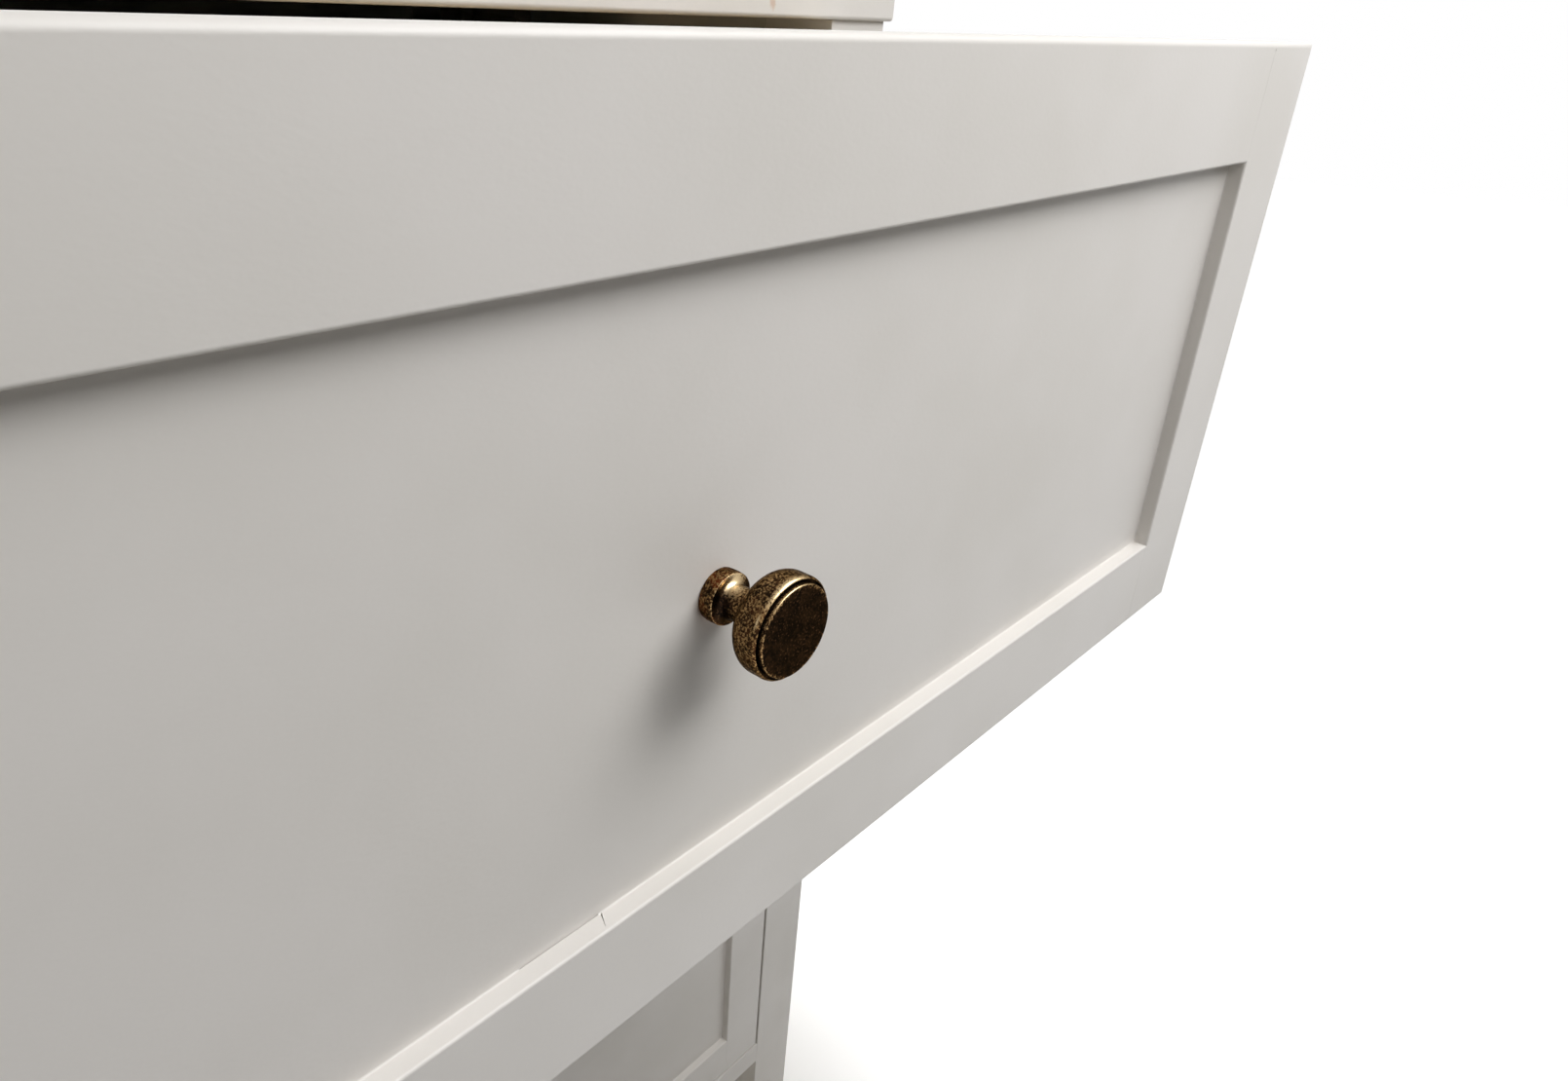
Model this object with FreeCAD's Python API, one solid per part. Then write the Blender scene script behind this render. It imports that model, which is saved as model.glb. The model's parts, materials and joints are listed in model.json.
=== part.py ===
import FreeCAD, Part
import math
import os
from FreeCAD import Vector

# Painted chest of three inset drawers, each with a framed front, one turned brass knob and a
# dovetailed wooden box that slides on wooden runners. Millimetres, +X right, -Y towards the
# person who opens it, +Z up. The origin is on the floor, in the middle of the footprint that
# the chest has in its stored pose, with the top drawer pulled part of the way out.

os.makedirs("parts", exist_ok=True)

# Drawer fronts: a frame of two stiles and two rails around a thin recessed panel
front_width = 630.0
front_height = 240.0
front_thickness = 20.0
front_member_width = 40.0
front_outer_arris = 2.0
front_inner_arris = 0.8
panel_recess = 6.0
panel_thickness = 8.0
panel_tongue = 8.0
panel_expansion_gap = 0.5
panel_edge_easing = 0.4
groove_stop = 12.0
groove_fit = 0.1

# Gaps and runs of the inset drawers
front_gap = 2.5
front_side_gap = 1.5
pull_out = 234.0
running_clearance = 0.4
guide_clearance = 1.0
box_back_clearance = 1.0

# Drawer boxes
box_side_thickness = 12.0
box_end_thickness = 12.0
box_bottom_thickness = 6.0
box_bottom_lift = 9.0
box_bottom_groove = 6.0
box_top_drop = 6.0
box_edge_easing = 1.0
dovetail_count = 6
dovetail_root_width = 13.0
dovetail_slope_share = 0.16

# Knob, turned in one piece, and the screw that holds it from inside the drawer
knob_drop = 1.2
knob_projection = 25.0
knob_foot_radius = 7.1
knob_foot_height = 4.4
knob_foot_land = 0.5
knob_cove_height = 1.8
knob_neck_radius = 4.5
knob_head_radius = 13.3
knob_head_height = 19.4
knob_head_depth = 7.8
knob_face_radius = 11.9
knob_face_rise = 1.2
knob_groove_width = 0.8
knob_groove_depth = 0.9
knob_face_easing = 0.35
knob_screw_radius = 2.0
knob_screw_grip = 10.0
knob_screw_tip_room = 1.5
screw_head_radius = 4.0
screw_head_height = 2.4
screw_fit = 0.08

# Countersunk screws that hold each front to its box
front_screw_radius = 2.0
front_screw_head_radius = 3.8
front_screw_head_height = 2.2
front_screw_grip = 13.0
front_screw_inset = 56.0

# Legs, rails and panels of the carcass
leg_size = 46.0
leg_arris_radius = 2.0
foot_height = 120.0
bottom_rail_height = 24.0
divider_height = 34.0
rail_arris_radius = 1.0
rail_tenon_length = 14.0
rail_tenon_thickness = 12.0
rail_tenon_shoulder = 6.0
interior_depth = 400.0
side_panel_thickness = 16.0
side_panel_recess = 6.0
side_panel_tongue = 8.0
back_panel_thickness = 8.0
back_panel_rebate = 12.0
bottom_panel_thickness = 8.0
top_thickness = 22.0
top_overhang = 3.5
top_arris_radius = 2.0

# Runners, and the cleats under the top
runner_width = 32.5
runner_height = 16.0
guide_thickness = 8.0
guide_height = 30.0
cleat_height = 24.0
cleat_break = 16.0
cleat_block_length = 50.0
cleat_end_block_length = 25.0

# Feet
glide_radius = 12.0
glide_height = 3.0
glide_easing = 0.8
glide_pin_radius = 1.5
glide_pin_length = 12.0
pin_fit = 0.05

overrun = 5.0
same_place = 0.05
levels = ("bottom", "middle", "top")
pulled_out = {"top": pull_out}

# Places worked out from the sizes above
opening_width = front_width + 2 * front_side_gap
opening_height = front_height + 2 * front_gap
half_opening = opening_width / 2
half_carcass = half_opening + leg_size
rail_depth = leg_size
carcass_depth = interior_depth + back_panel_thickness
knob_reach = knob_projection - panel_recess
face_y = (pull_out + knob_reach - carcass_depth) / 2
back_y = face_y + carcass_depth
back_panel_y = back_y - back_panel_thickness
side_inner_x = half_carcass - side_panel_recess - side_panel_thickness
level_step = opening_height + divider_height
first_opening_z = foot_height + bottom_rail_height
top_underside_z = first_opening_z + len(levels) * level_step - divider_height
groove_depth = panel_tongue + panel_expansion_gap
box_half_width = half_opening - guide_thickness - guide_clearance
box_length = interior_depth - front_thickness - box_back_clearance


def box(x0, x1, y0, y1, z0, z1):
    """A board between two corners."""
    return Part.makeBox(x1 - x0, y1 - y0, z1 - z0, Vector(x0, y0, z0))


def mirrored(shape):
    """The same piece on the other side of the chest's middle plane."""
    return shape.mirror(Vector(0, 0, 0), Vector(1, 0, 0))


def eased(shape, radius, keep):
    """The shape with the edges rounded whose middle point passes the test keep."""
    edges = [edge for edge in shape.Edges if keep(edge.BoundBox.Center)]
    return shape.makeFillet(radius, edges) if edges else shape


def rod(radius, y0, y1, x, z):
    """A round bar along Y."""
    return Part.makeCylinder(radius, y1 - y0, Vector(x, y0, z), Vector(0, 1, 0))


def save(name, *solids):
    """Writes one node: one piece, or a group of like ones."""
    shape = solids[0] if len(solids) == 1 else Part.makeCompound(list(solids))
    shape.exportStep(os.path.join("parts", name + ".step"))


def near(value, target):
    """Whether two coordinates are the same place."""
    return abs(value - target) < same_place


def opening_floor(level):
    """Height of the rail and runner tops that carry this drawer."""
    return first_opening_z + levels.index(level) * level_step


def front_member(x0, x1, z0, z1, y, outer, inner):
    """One stile or rail, its face arrises rounded over: more on the outside of the frame than
    next to the panel. The tests outer and inner pick edges by their middle point."""
    solid = box(x0, x1, y, y + front_thickness, z0, z1)
    solid = eased(solid, front_outer_arris, lambda c: near(c.y, y) and outer(c))
    return eased(solid, front_inner_arris, lambda c: near(c.y, y) and inner(c))


def front_stile(y, z):
    """The right stile, grooved along its inner edge for the panel and the rails' tongues."""
    x1 = front_width / 2
    x0 = x1 - front_member_width
    top = z + front_height
    solid = front_member(x0, x1, z, top, y, lambda c: not near(c.x, x0), lambda c: near(c.x, x0))
    y0 = y + panel_recess - groove_fit
    y1 = y + panel_recess + panel_thickness + groove_fit
    solid = solid.cut(box(x0 - overrun, x0 + groove_depth, y0, y1, z + groove_stop, top - groove_stop))
    start = y + front_thickness - front_screw_grip - screw_fit
    for height in front_screw_heights(z):
        hole = rod(front_screw_radius + screw_fit, start, y + front_thickness + overrun,
                   front_screw_x(), height)
        solid = solid.cut(hole)
    return solid


def front_rail(y, z, upper):
    """The upper or lower rail, with a tongue at each end and a groove for the panel."""
    half = front_width / 2 - front_member_width
    z0 = z + front_height - front_member_width if upper else z
    z1 = z0 + front_member_width
    outer_z, inner_z = (z1, z0) if upper else (z0, z1)
    solid = front_member(-half, half, z0, z1, y, lambda c: near(c.z, outer_z), lambda c: near(c.z, inner_z))
    tongue_z0 = z0 if upper else z0 + groove_stop + groove_fit
    tongue_z1 = z1 - groove_stop - groove_fit if upper else z1
    y0 = y + panel_recess
    y1 = y0 + panel_thickness
    reach = half + panel_tongue
    solid = solid.fuse(box(-reach, reach, y0, y1, tongue_z0, tongue_z1)).removeSplitter()
    cut_z0 = z0 - overrun if upper else z1 - groove_depth
    cut_z1 = z0 + groove_depth if upper else z1 + overrun
    cut = box(-reach - overrun, reach + overrun, y0 - groove_fit, y1 + groove_fit, cut_z0, cut_z1)
    return solid.cut(cut)


def front_panel(y, z):
    """The thin panel that floats in the frame's groove, bored for the knob's screw."""
    half = front_width / 2 - front_member_width + panel_tongue
    low = z + front_member_width - panel_tongue
    high = z + front_height - front_member_width + panel_tongue
    y0 = y + panel_recess
    solid = box(-half, half, y0, y0 + panel_thickness, low, high)
    solid = eased(solid, panel_edge_easing, lambda c: near(c.y, y0))
    hole = rod(knob_screw_radius + screw_fit, y0 - overrun, y0 + panel_thickness + overrun,
               0, knob_middle_z(z))
    return solid.cut(hole)


def front_screw_x():
    """Middle of the part of the stile that the box's inner front covers."""
    inner = front_width / 2 - front_member_width
    return (inner + box_half_width - box_side_thickness) / 2


def front_screw_heights(z):
    """Heights of the lower and the upper screw in a stile."""
    return (z + front_screw_inset, z + front_height - front_screw_inset)


def knob_middle_z(z):
    """Height of the knob's axis, a little below the middle of its front."""
    return z + front_height / 2 - knob_drop


def elliptic_arc(centre_r, centre_z, reach_r, reach_z, turn=math.pi / 2):
    """Part of an ellipse about a point of the knob's outline: a quarter, or a smaller turn that
    starts at the side."""
    side = math.pi / 2
    unit = Part.ArcOfCircle(Part.Circle(Vector(0, 0, 0), Vector(0, -1, 0), 1), side - turn, side)
    stretch = FreeCAD.Matrix()
    stretch.scale(reach_r, 1, -reach_z)
    stretch.move(Vector(centre_r, 0, centre_z))
    return unit.toShape().transformGeometry(stretch)


def knob_profile():
    """The half outline of the knob, from its foot on the panel out to its flat face. A small
    cove leads from the foot to a straight neck, which runs into the half ellipsoid of the head."""
    turn = math.acos(knob_neck_radius / knob_head_radius)
    neck_z = knob_head_height - knob_head_depth * math.sin(turn)
    land_r = knob_foot_radius - knob_foot_land
    cove_z = knob_foot_height + knob_cove_height
    rim_r = knob_face_radius + knob_groove_width
    rim_z = knob_projection - knob_face_rise
    groove_z = rim_z - knob_groove_depth
    foot = [(0, 0), (knob_foot_radius, 0), (knob_foot_radius, knob_foot_height), (land_r, knob_foot_height)]
    neck = [(knob_neck_radius, cove_z), (knob_neck_radius, neck_z)]
    face = [(rim_r, rim_z), (rim_r, groove_z), (knob_face_radius, groove_z),
            (knob_face_radius, knob_projection - knob_face_easing),
            (knob_face_radius - knob_face_easing, knob_projection), (0, knob_projection), (0, 0)]
    cove = elliptic_arc(land_r, cove_z, knob_neck_radius - land_r, -knob_cove_height)
    under = elliptic_arc(0, knob_head_height, knob_head_radius, -knob_head_depth, turn)
    over = elliptic_arc(rim_r, knob_head_height, knob_head_radius - rim_r, rim_z - knob_head_height)
    straight = []
    for points in (foot, neck, face):
        for (r0, z0), (r1, z1) in zip(points, points[1:]):
            straight.append(Part.makeLine(Vector(r0, 0, z0), Vector(r1, 0, z1)))
    return Part.Wire(Part.__sortEdges__(straight + [cove, under, over]))


def knob(y, z):
    """The turned knob, standing on the panel, with a blind hole for its screw."""
    solid = Part.Face(knob_profile()).revolve(Vector(0, 0, 0), Vector(0, 0, 1), 360)
    hole = Part.makeCylinder(knob_screw_radius + screw_fit, knob_screw_grip + knob_screw_tip_room)
    solid = solid.cut(hole)
    solid.rotate(Vector(0, 0, 0), Vector(1, 0, 0), 90)
    solid.translate(Vector(0, y + panel_recess, knob_middle_z(z)))
    return solid


def knob_screw(y, z):
    """The long screw that passes through the inner front and the panel into the knob."""
    height = knob_middle_z(z)
    head_y = y + front_thickness + box_end_thickness
    shank = rod(knob_screw_radius, y + panel_recess - knob_screw_grip, head_y, 0, height)
    head = rod(screw_head_radius, head_y, head_y + screw_head_height, 0, height)
    head = eased(head, screw_head_height / 2, lambda c: c.y > head_y + screw_head_height / 2)
    return shank.fuse(head).removeSplitter()


def front_screws(y, z):
    """The countersunk screws between the inner front and the stiles."""
    head_y = y + front_thickness + box_end_thickness
    tip_y = y + front_thickness - front_screw_grip
    solids = []
    for height in front_screw_heights(z):
        shank = rod(front_screw_radius, tip_y, head_y, front_screw_x(), height)
        head = Part.makeCone(front_screw_radius, front_screw_head_radius, front_screw_head_height,
                             Vector(front_screw_x(), head_y - front_screw_head_height, height),
                             Vector(0, 1, 0))
        solids.append(shank.fuse(head).removeSplitter())
    return solids + [mirrored(solid) for solid in solids]


def pins(y0, y1, z0, z1):
    """The dovetail pins at one end of a box side: wedges that run through the side's thickness,
    wider on the inside of the corner and narrower on the outside."""
    pitch = (z1 - z0) / dovetail_count
    outer = dovetail_root_width / 2 - box_side_thickness * dovetail_slope_share
    inner = dovetail_root_width / 2 + box_side_thickness * dovetail_slope_share
    x0 = box_half_width - box_side_thickness
    x1 = box_half_width
    solids = []
    for index in range(dovetail_count):
        middle = z0 + (index + 1 / 2) * pitch
        corners = [Vector(x0, y0, middle - inner), Vector(x1, y0, middle - outer),
                   Vector(x1, y0, middle + outer), Vector(x0, y0, middle + inner)]
        outline = Part.makePolygon(corners + corners[:1])
        solids.append(Part.Face(outline).extrude(Vector(0, y1 - y0, 0)))
    return solids


def with_pins(board, wedges):
    """An end board with the same pins at both ends."""
    return board.multiFuse(wedges + [mirrored(wedge) for wedge in wedges]).removeSplitter()


def drawer(level):
    """One drawer: its framed front, its box, its knob and its screws."""
    y = face_y - pulled_out.get(level, 0.0)
    floor_z = opening_floor(level)
    z = floor_z + front_gap
    prefix = level + "_drawer_"
    stile = front_stile(y, z)
    save(prefix + "right_stile", stile)
    save(prefix + "left_stile", mirrored(stile))
    save(prefix + "upper_rail", front_rail(y, z, True))
    save(prefix + "lower_rail", front_rail(y, z, False))
    save(prefix + "front_panel", front_panel(y, z))
    save(prefix + "knob", knob(y, z))
    save(prefix + "knob_screw", knob_screw(y, z))
    save(prefix + "front_screws", *front_screws(y, z))

    low = floor_z + running_clearance
    high = z + front_height - box_top_drop
    start = y + front_thickness
    end = start + box_length
    bottom_z = low + box_bottom_lift
    bottom_top = bottom_z + box_bottom_thickness
    inner_x = box_half_width - box_side_thickness
    inner_front_y = start + box_end_thickness
    inner_back_y = end - box_end_thickness

    front_pins = pins(start, inner_front_y, bottom_top, high)
    back_pins = pins(inner_back_y, end, bottom_top, high)
    side = box(inner_x, box_half_width, start, end, low, high)
    groove_x = inner_x + box_bottom_groove
    groove = box(inner_x - overrun, groove_x, start - overrun, end + overrun,
                 bottom_z - groove_fit, bottom_top + groove_fit)
    side = side.cut(groove)
    side = eased(side, box_edge_easing, lambda c: near(c.z, high) and near(c.y, (start + end) / 2))
    for wedge in front_pins + back_pins:
        side = side.cut(wedge)
    save(prefix + "right_side", side)
    save(prefix + "left_side", mirrored(side))

    inner_front = box(-inner_x, inner_x, start, inner_front_y, low, high)
    inner_front = inner_front.cut(box(-inner_x, inner_x, inner_front_y - box_bottom_groove,
                                      inner_front_y + overrun, bottom_z - groove_fit,
                                      bottom_top + groove_fit))
    inner_front = with_pins(inner_front, front_pins)
    inner_front = inner_front.cut(rod(knob_screw_radius + screw_fit, start - overrun,
                                      inner_front_y + overrun, 0, knob_middle_z(z)))
    for height in front_screw_heights(z):
        bore = rod(front_screw_radius + screw_fit, start - overrun, inner_front_y + overrun,
                   front_screw_x(), height)
        sink = Part.makeCone(front_screw_radius + screw_fit, front_screw_head_radius + screw_fit,
                             front_screw_head_height,
                             Vector(front_screw_x(), inner_front_y - front_screw_head_height, height),
                             Vector(0, 1, 0))
        inner_front = inner_front.cut(bore).cut(sink).cut(mirrored(bore)).cut(mirrored(sink))
    save(prefix + "inner_front", inner_front)

    back = box(-inner_x, inner_x, inner_back_y, end, bottom_top + groove_fit, high)
    save(prefix + "back", with_pins(back, back_pins))
    reach_x = groove_x - groove_fit
    bottom = box(-reach_x, reach_x, inner_front_y - box_bottom_groove + groove_fit, end,
                 bottom_z, bottom_top)
    save(prefix + "bottom", bottom)


def leg(front):
    """A right leg: mortised for the rails in front, rebated for the back panel behind."""
    y0 = face_y if front else back_y - leg_size
    y1 = y0 + leg_size
    solid = box(half_opening, half_carcass, y0, y1, glide_height, top_underside_z)
    outer_y = y0 if front else y1
    solid = eased(solid, leg_arris_radius,
                  lambda c: near(c.x, half_carcass) and near(c.y, outer_y))
    groove_y = y1 - side_panel_tongue - groove_fit if front else y0 - overrun
    groove_end = y1 + overrun if front else y0 + side_panel_tongue + groove_fit
    solid = solid.cut(box(side_inner_x - groove_fit, side_inner_x + side_panel_thickness + groove_fit,
                          groove_y, groove_end, foot_height - groove_fit,
                          top_underside_z + overrun))
    if front:
        for low, high in rail_levels():
            z0 = low + rail_tenon_shoulder - groove_fit
            z1 = high - rail_tenon_shoulder + groove_fit
            ty0, ty1 = tenon_span()
            solid = solid.cut(box(half_opening - overrun, half_opening + rail_tenon_length + groove_fit,
                                  ty0 - groove_fit, ty1 + groove_fit, z0, z1))
    else:
        solid = solid.cut(box(half_opening - overrun, half_opening + back_panel_rebate,
                              back_panel_y, back_y + overrun,
                              foot_height, top_underside_z + overrun))
    x, y = half_opening + leg_size / 2, y0 + leg_size / 2
    pin = Part.makeCylinder(glide_pin_radius + pin_fit, glide_pin_length + pin_fit,
                            Vector(x, y, glide_height))
    return solid.cut(pin)


def glide(front):
    """A round glide under a leg, with its pin."""
    y0 = face_y if front else back_y - leg_size
    place = Vector(half_opening + leg_size / 2, y0 + leg_size / 2, 0)
    disc = Part.makeCylinder(glide_radius, glide_height, place)
    disc = eased(disc, glide_easing, lambda c: near(c.z, 0))
    pin = Part.makeCylinder(glide_pin_radius, glide_height + glide_pin_length, place)
    return disc.fuse(pin).removeSplitter()


def rail_levels():
    """Lower and upper edge of each front rail, from the floor up."""
    spans = [(foot_height, first_opening_z)]
    for level in levels[1:]:
        high = opening_floor(level)
        spans.append((high - divider_height, high))
    return spans


def tenon_span():
    """Front and back of the rails' tenons, in the middle of the leg."""
    middle = face_y + leg_size / 2
    return middle - rail_tenon_thickness / 2, middle + rail_tenon_thickness / 2


def face_rail(low, high):
    """A rail between the front legs, with a tenon at each end."""
    solid = box(-half_opening, half_opening, face_y, face_y + rail_depth, low, high)
    solid = eased(solid, rail_arris_radius, lambda c: near(c.y, face_y) and near(c.x, 0))
    reach = half_opening + rail_tenon_length
    y0, y1 = tenon_span()
    tenon = box(-reach, reach, y0, y1, low + rail_tenon_shoulder, high - rail_tenon_shoulder)
    return solid.fuse(tenon).removeSplitter()


def runner(level):
    """The right runner of one drawer: a ledge that carries it and a lip that guides it."""
    top = opening_floor(level)
    y0 = face_y + rail_depth
    ledge = box(half_opening - runner_width, half_opening, y0, back_panel_y, top - runner_height, top)
    lip = box(half_opening - guide_thickness, half_opening, y0, back_panel_y, top, top + guide_height)
    solid = ledge.fuse(lip).removeSplitter()
    return eased(solid, box_edge_easing,
                 lambda c: near(c.z, top + guide_height) and near(c.x, half_opening - guide_thickness))


def top_cleats():
    """The cleat and the two short blocks that join the top to the right side, from the rear
    leg forwards. The long cleat takes what the blocks leave, up to the front leg."""
    solids = []
    end = back_y - leg_size
    for length in (cleat_end_block_length, cleat_block_length):
        solids.append(box(half_opening, side_inner_x, end - length, end,
                          top_underside_z - cleat_height, top_underside_z))
        end -= length + cleat_break
    solids.append(box(half_opening, side_inner_x, face_y + leg_size, end,
                      top_underside_z - cleat_height, top_underside_z))
    return solids


def side_panel():
    """The right side, held in the grooves of its two legs."""
    y0 = face_y + leg_size - side_panel_tongue
    y1 = back_y - leg_size + side_panel_tongue
    return box(side_inner_x, side_inner_x + side_panel_thickness, y0, y1,
               foot_height, top_underside_z)


def top_panel():
    """The top, flush behind and a little proud of the face and the sides."""
    half = half_carcass + top_overhang
    y0 = face_y - top_overhang
    high = top_underside_z + top_thickness
    solid = box(-half, half, y0, back_y, top_underside_z, high)
    return eased(solid, top_arris_radius, lambda c: near(c.y, y0) or near(abs(c.x), half)
                 and not near(c.y, back_y))


def carcass():
    """The standing part: legs, rails, panels, runners and feet."""
    save("top_panel", top_panel())
    for front, place in ((True, "front"), (False, "rear")):
        post = leg(front)
        save(place + "_right_leg", post)
        save(place + "_left_leg", mirrored(post))
    feet = [glide(front) for front in (True, False)]
    save("foot_glides", *feet, *[mirrored(foot) for foot in feet])
    save("right_side_panel", side_panel())
    save("left_side_panel", mirrored(side_panel()))
    save("right_top_cleats", *top_cleats())
    save("left_top_cleats", *[mirrored(solid) for solid in top_cleats()])
    names = ("bottom_face_rail", "lower_divider_rail", "upper_divider_rail")
    for name, (low, high) in zip(names, rail_levels()):
        save(name, face_rail(low, high))
    for level in levels:
        save(level + "_right_runner", runner(level))
        save(level + "_left_runner", mirrored(runner(level)))
    back_half = half_opening + back_panel_rebate - groove_fit
    save("back_panel", box(-back_half, back_half, back_panel_y, back_y, foot_height, top_underside_z))
    floor_top = first_opening_z - runner_height
    save("bottom_panel", box(-half_opening, half_opening, face_y + rail_depth, back_panel_y,
                             floor_top - bottom_panel_thickness, floor_top))


carcass()
for name in levels:
    drawer(name)
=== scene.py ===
"""Looks of a painted chest of three inset drawers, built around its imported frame.

Every board, knob and screw is a piece of its own that stands for one node of the frame, with its
arrises, joint lines and finish. Lengths are in metres unless a name ends in mm. +X is to the
right, -Y towards the person who opens the drawers, +Z up.
"""

import json
import logging
import math
from dataclasses import dataclass
from enum import Enum
from functools import partial
from typing import Any, Callable, Iterable, Sequence

import bmesh
import bpy
from mathutils import Matrix, Vector, noise

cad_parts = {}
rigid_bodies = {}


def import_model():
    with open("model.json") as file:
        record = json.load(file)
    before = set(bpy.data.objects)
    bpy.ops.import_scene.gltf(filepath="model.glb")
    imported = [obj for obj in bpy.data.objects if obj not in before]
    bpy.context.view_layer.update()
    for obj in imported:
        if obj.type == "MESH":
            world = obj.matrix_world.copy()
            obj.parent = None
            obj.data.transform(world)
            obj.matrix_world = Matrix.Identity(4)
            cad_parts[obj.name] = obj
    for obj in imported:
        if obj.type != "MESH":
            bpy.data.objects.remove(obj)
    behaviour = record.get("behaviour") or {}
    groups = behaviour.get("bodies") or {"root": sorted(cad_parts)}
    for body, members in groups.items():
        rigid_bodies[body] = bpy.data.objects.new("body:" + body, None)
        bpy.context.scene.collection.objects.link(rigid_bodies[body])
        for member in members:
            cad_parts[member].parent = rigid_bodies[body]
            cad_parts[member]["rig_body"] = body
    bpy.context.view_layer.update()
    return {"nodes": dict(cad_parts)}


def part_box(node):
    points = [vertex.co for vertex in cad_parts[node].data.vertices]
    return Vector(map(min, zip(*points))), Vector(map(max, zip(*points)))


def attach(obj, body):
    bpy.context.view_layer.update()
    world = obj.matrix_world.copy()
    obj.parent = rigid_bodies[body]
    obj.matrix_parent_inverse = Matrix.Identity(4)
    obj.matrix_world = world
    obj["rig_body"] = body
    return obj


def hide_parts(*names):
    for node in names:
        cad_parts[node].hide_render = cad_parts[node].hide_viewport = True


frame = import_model()

MM = 0.001
PHOTO_WIDTH_PX = 1610
PHOTO_HEIGHT_PX = 1110
# Octaves of a noise, how much each finer one keeps of the one before where it looks grainy, and
# the middle of a noise's colour.
SOFT = 2.0
CRISP = 3.0
GRAINY = 0.6
NOISE_MIDDLE = (0.5, 0.5, 0.5)
# A mix of colours, whose sockets go by number because others share their names, and a range that
# starts and ends gently.
SHARE = 0
FIRST = 6
SECOND = 7
COLOURS = {"take": 2, "data_type": "RGBA"}
SMOOTH = {"interpolation_type": "SMOOTHSTEP"}
# What differs from point to point on a knob, each from 0 to 1: abrasion with painted highlight,
# dark patina with painted shade, and copper.
PATINA_AND_LIGHT_MARKS = ("rubbing", "blackening", "coppering")
Socket = bpy.types.NodeSocket
Adder = Callable[..., Socket]
log = logging.getLogger("chest")


class Axis(Enum):
    """The direction in which the fibres of a board run."""

    ACROSS = 0
    DEEP = 1
    UP = 2


class Level(Enum):
    """A drawer's place in the chest."""

    BOTTOM = "bottom"
    MIDDLE = "middle"
    TOP = "top"

    @property
    def prefix(self) -> str:
        """How the names of the drawer's nodes begin."""
        return self.value + "_drawer_"


class Side(Enum):
    """A side of the chest, seen from in front, as a sign along X."""

    RIGHT = 1
    LEFT = -1

    @property
    def word(self) -> str:
        """The side as it is written in a node's name."""
        return self.name.lower()


def linear(hex_code: str) -> tuple[float, float, float, float]:
    """Turns an sRGB hex colour into a linear one, by the curve of the sRGB standard.

    Args:
        hex_code: Colour as #RRGGBB.

    Returns:
        Red, green, blue and a full alpha, as the shaders want them.
    """
    parts = [int(hex_code[start:start + 2], 16) / 255 for start in (1, 3, 5)]
    light = [part / 12.92 if part <= 0.04045 else ((part + 0.055) / 1.055) ** 2.4 for part in parts]
    return light[0], light[1], light[2], 1.0


def add_node(tree: bpy.types.NodeTree, kind: str,
             inputs: dict[int | str, Any] | Sequence[Any] = (), take: int | str = 0,
             **settings: Any) -> Socket | None:
    """Adds a shader node with its settings and links.

    Args:
        tree: Node tree that gets the node.
        kind: Node type without its ShaderNode prefix.
        inputs: Values, or sockets to link, in the order of the node's inputs, or else by an
            input's name or number.
        take: Output to hand back, by name or number.
        settings: Properties of the node itself.

    Returns:
        The chosen output, or None for a node that has none.
    """
    made = tree.nodes.new("ShaderNode" + kind)
    for name, value in settings.items():
        setattr(made, name, value)
    pairs = inputs.items() if isinstance(inputs, dict) else enumerate(inputs)
    for key, value in pairs:
        if isinstance(value, Socket):
            tree.links.new(value, made.inputs[key])
        else:
            made.inputs[key].default_value = value
    return made.outputs[take] if made.outputs else None


def repeats(size_mm: float) -> float:
    """How often a pattern of a real size comes in a metre, as the noise nodes want it."""
    return 1 / (size_mm * MM)


def stretched(along: Axis, share: float) -> tuple[float, float, float]:
    """A scale that draws a pattern out along the fibres.

    Args:
        along: Direction of the fibres.
        share: Scale in that direction, where 1 leaves the pattern round.

    Returns:
        Scale along X, Y and Z.
    """
    scale = [1.0, 1.0, 1.0]
    scale[along.value] = share
    return scale[0], scale[1], scale[2]


def seen_directly(add: Adder) -> Socket:
    """Tells camera, glossy and transmission rays from the rays that light the object.

    Args:
        add: Adds a node to a stage material or to the world.

    Returns:
        A socket that is 1 for those rays and 0 for the others.
    """
    rays = add("LightPath").node.outputs
    either = add("Math", (rays["Is Camera Ray"], rays["Is Glossy Ray"]), operation="MAXIMUM")
    return add("Math", (either, rays["Is Transmission Ray"]), operation="MAXIMUM")


@dataclass(frozen=True)
class Finish:
    """A real material and how its surface was made."""

    label: str = "finish"

    def material(self, along: Axis = Axis.ACROSS) -> bpy.types.Material:
        """The material for one direction of the fibres, made when it is first asked for.

        Args:
            along: Direction of the fibres.

        Returns:
            The material.
        """
        label = f"{self.label}_{along.name.lower()}"
        if label in bpy.data.materials:
            return bpy.data.materials[label]
        made = bpy.data.materials.new(label)
        made.use_nodes = True
        made.node_tree.nodes.clear()
        add = partial(add_node, made.node_tree)
        surface = self.shade(add, add("TexCoord", take="Object"), along)
        add("OutputMaterial", {"Surface": surface})
        return made

    def shade(self, add: Adder, place: Socket, along: Axis) -> Socket:
        """Builds the shader and hands back its output."""
        raise NotImplementedError


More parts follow.
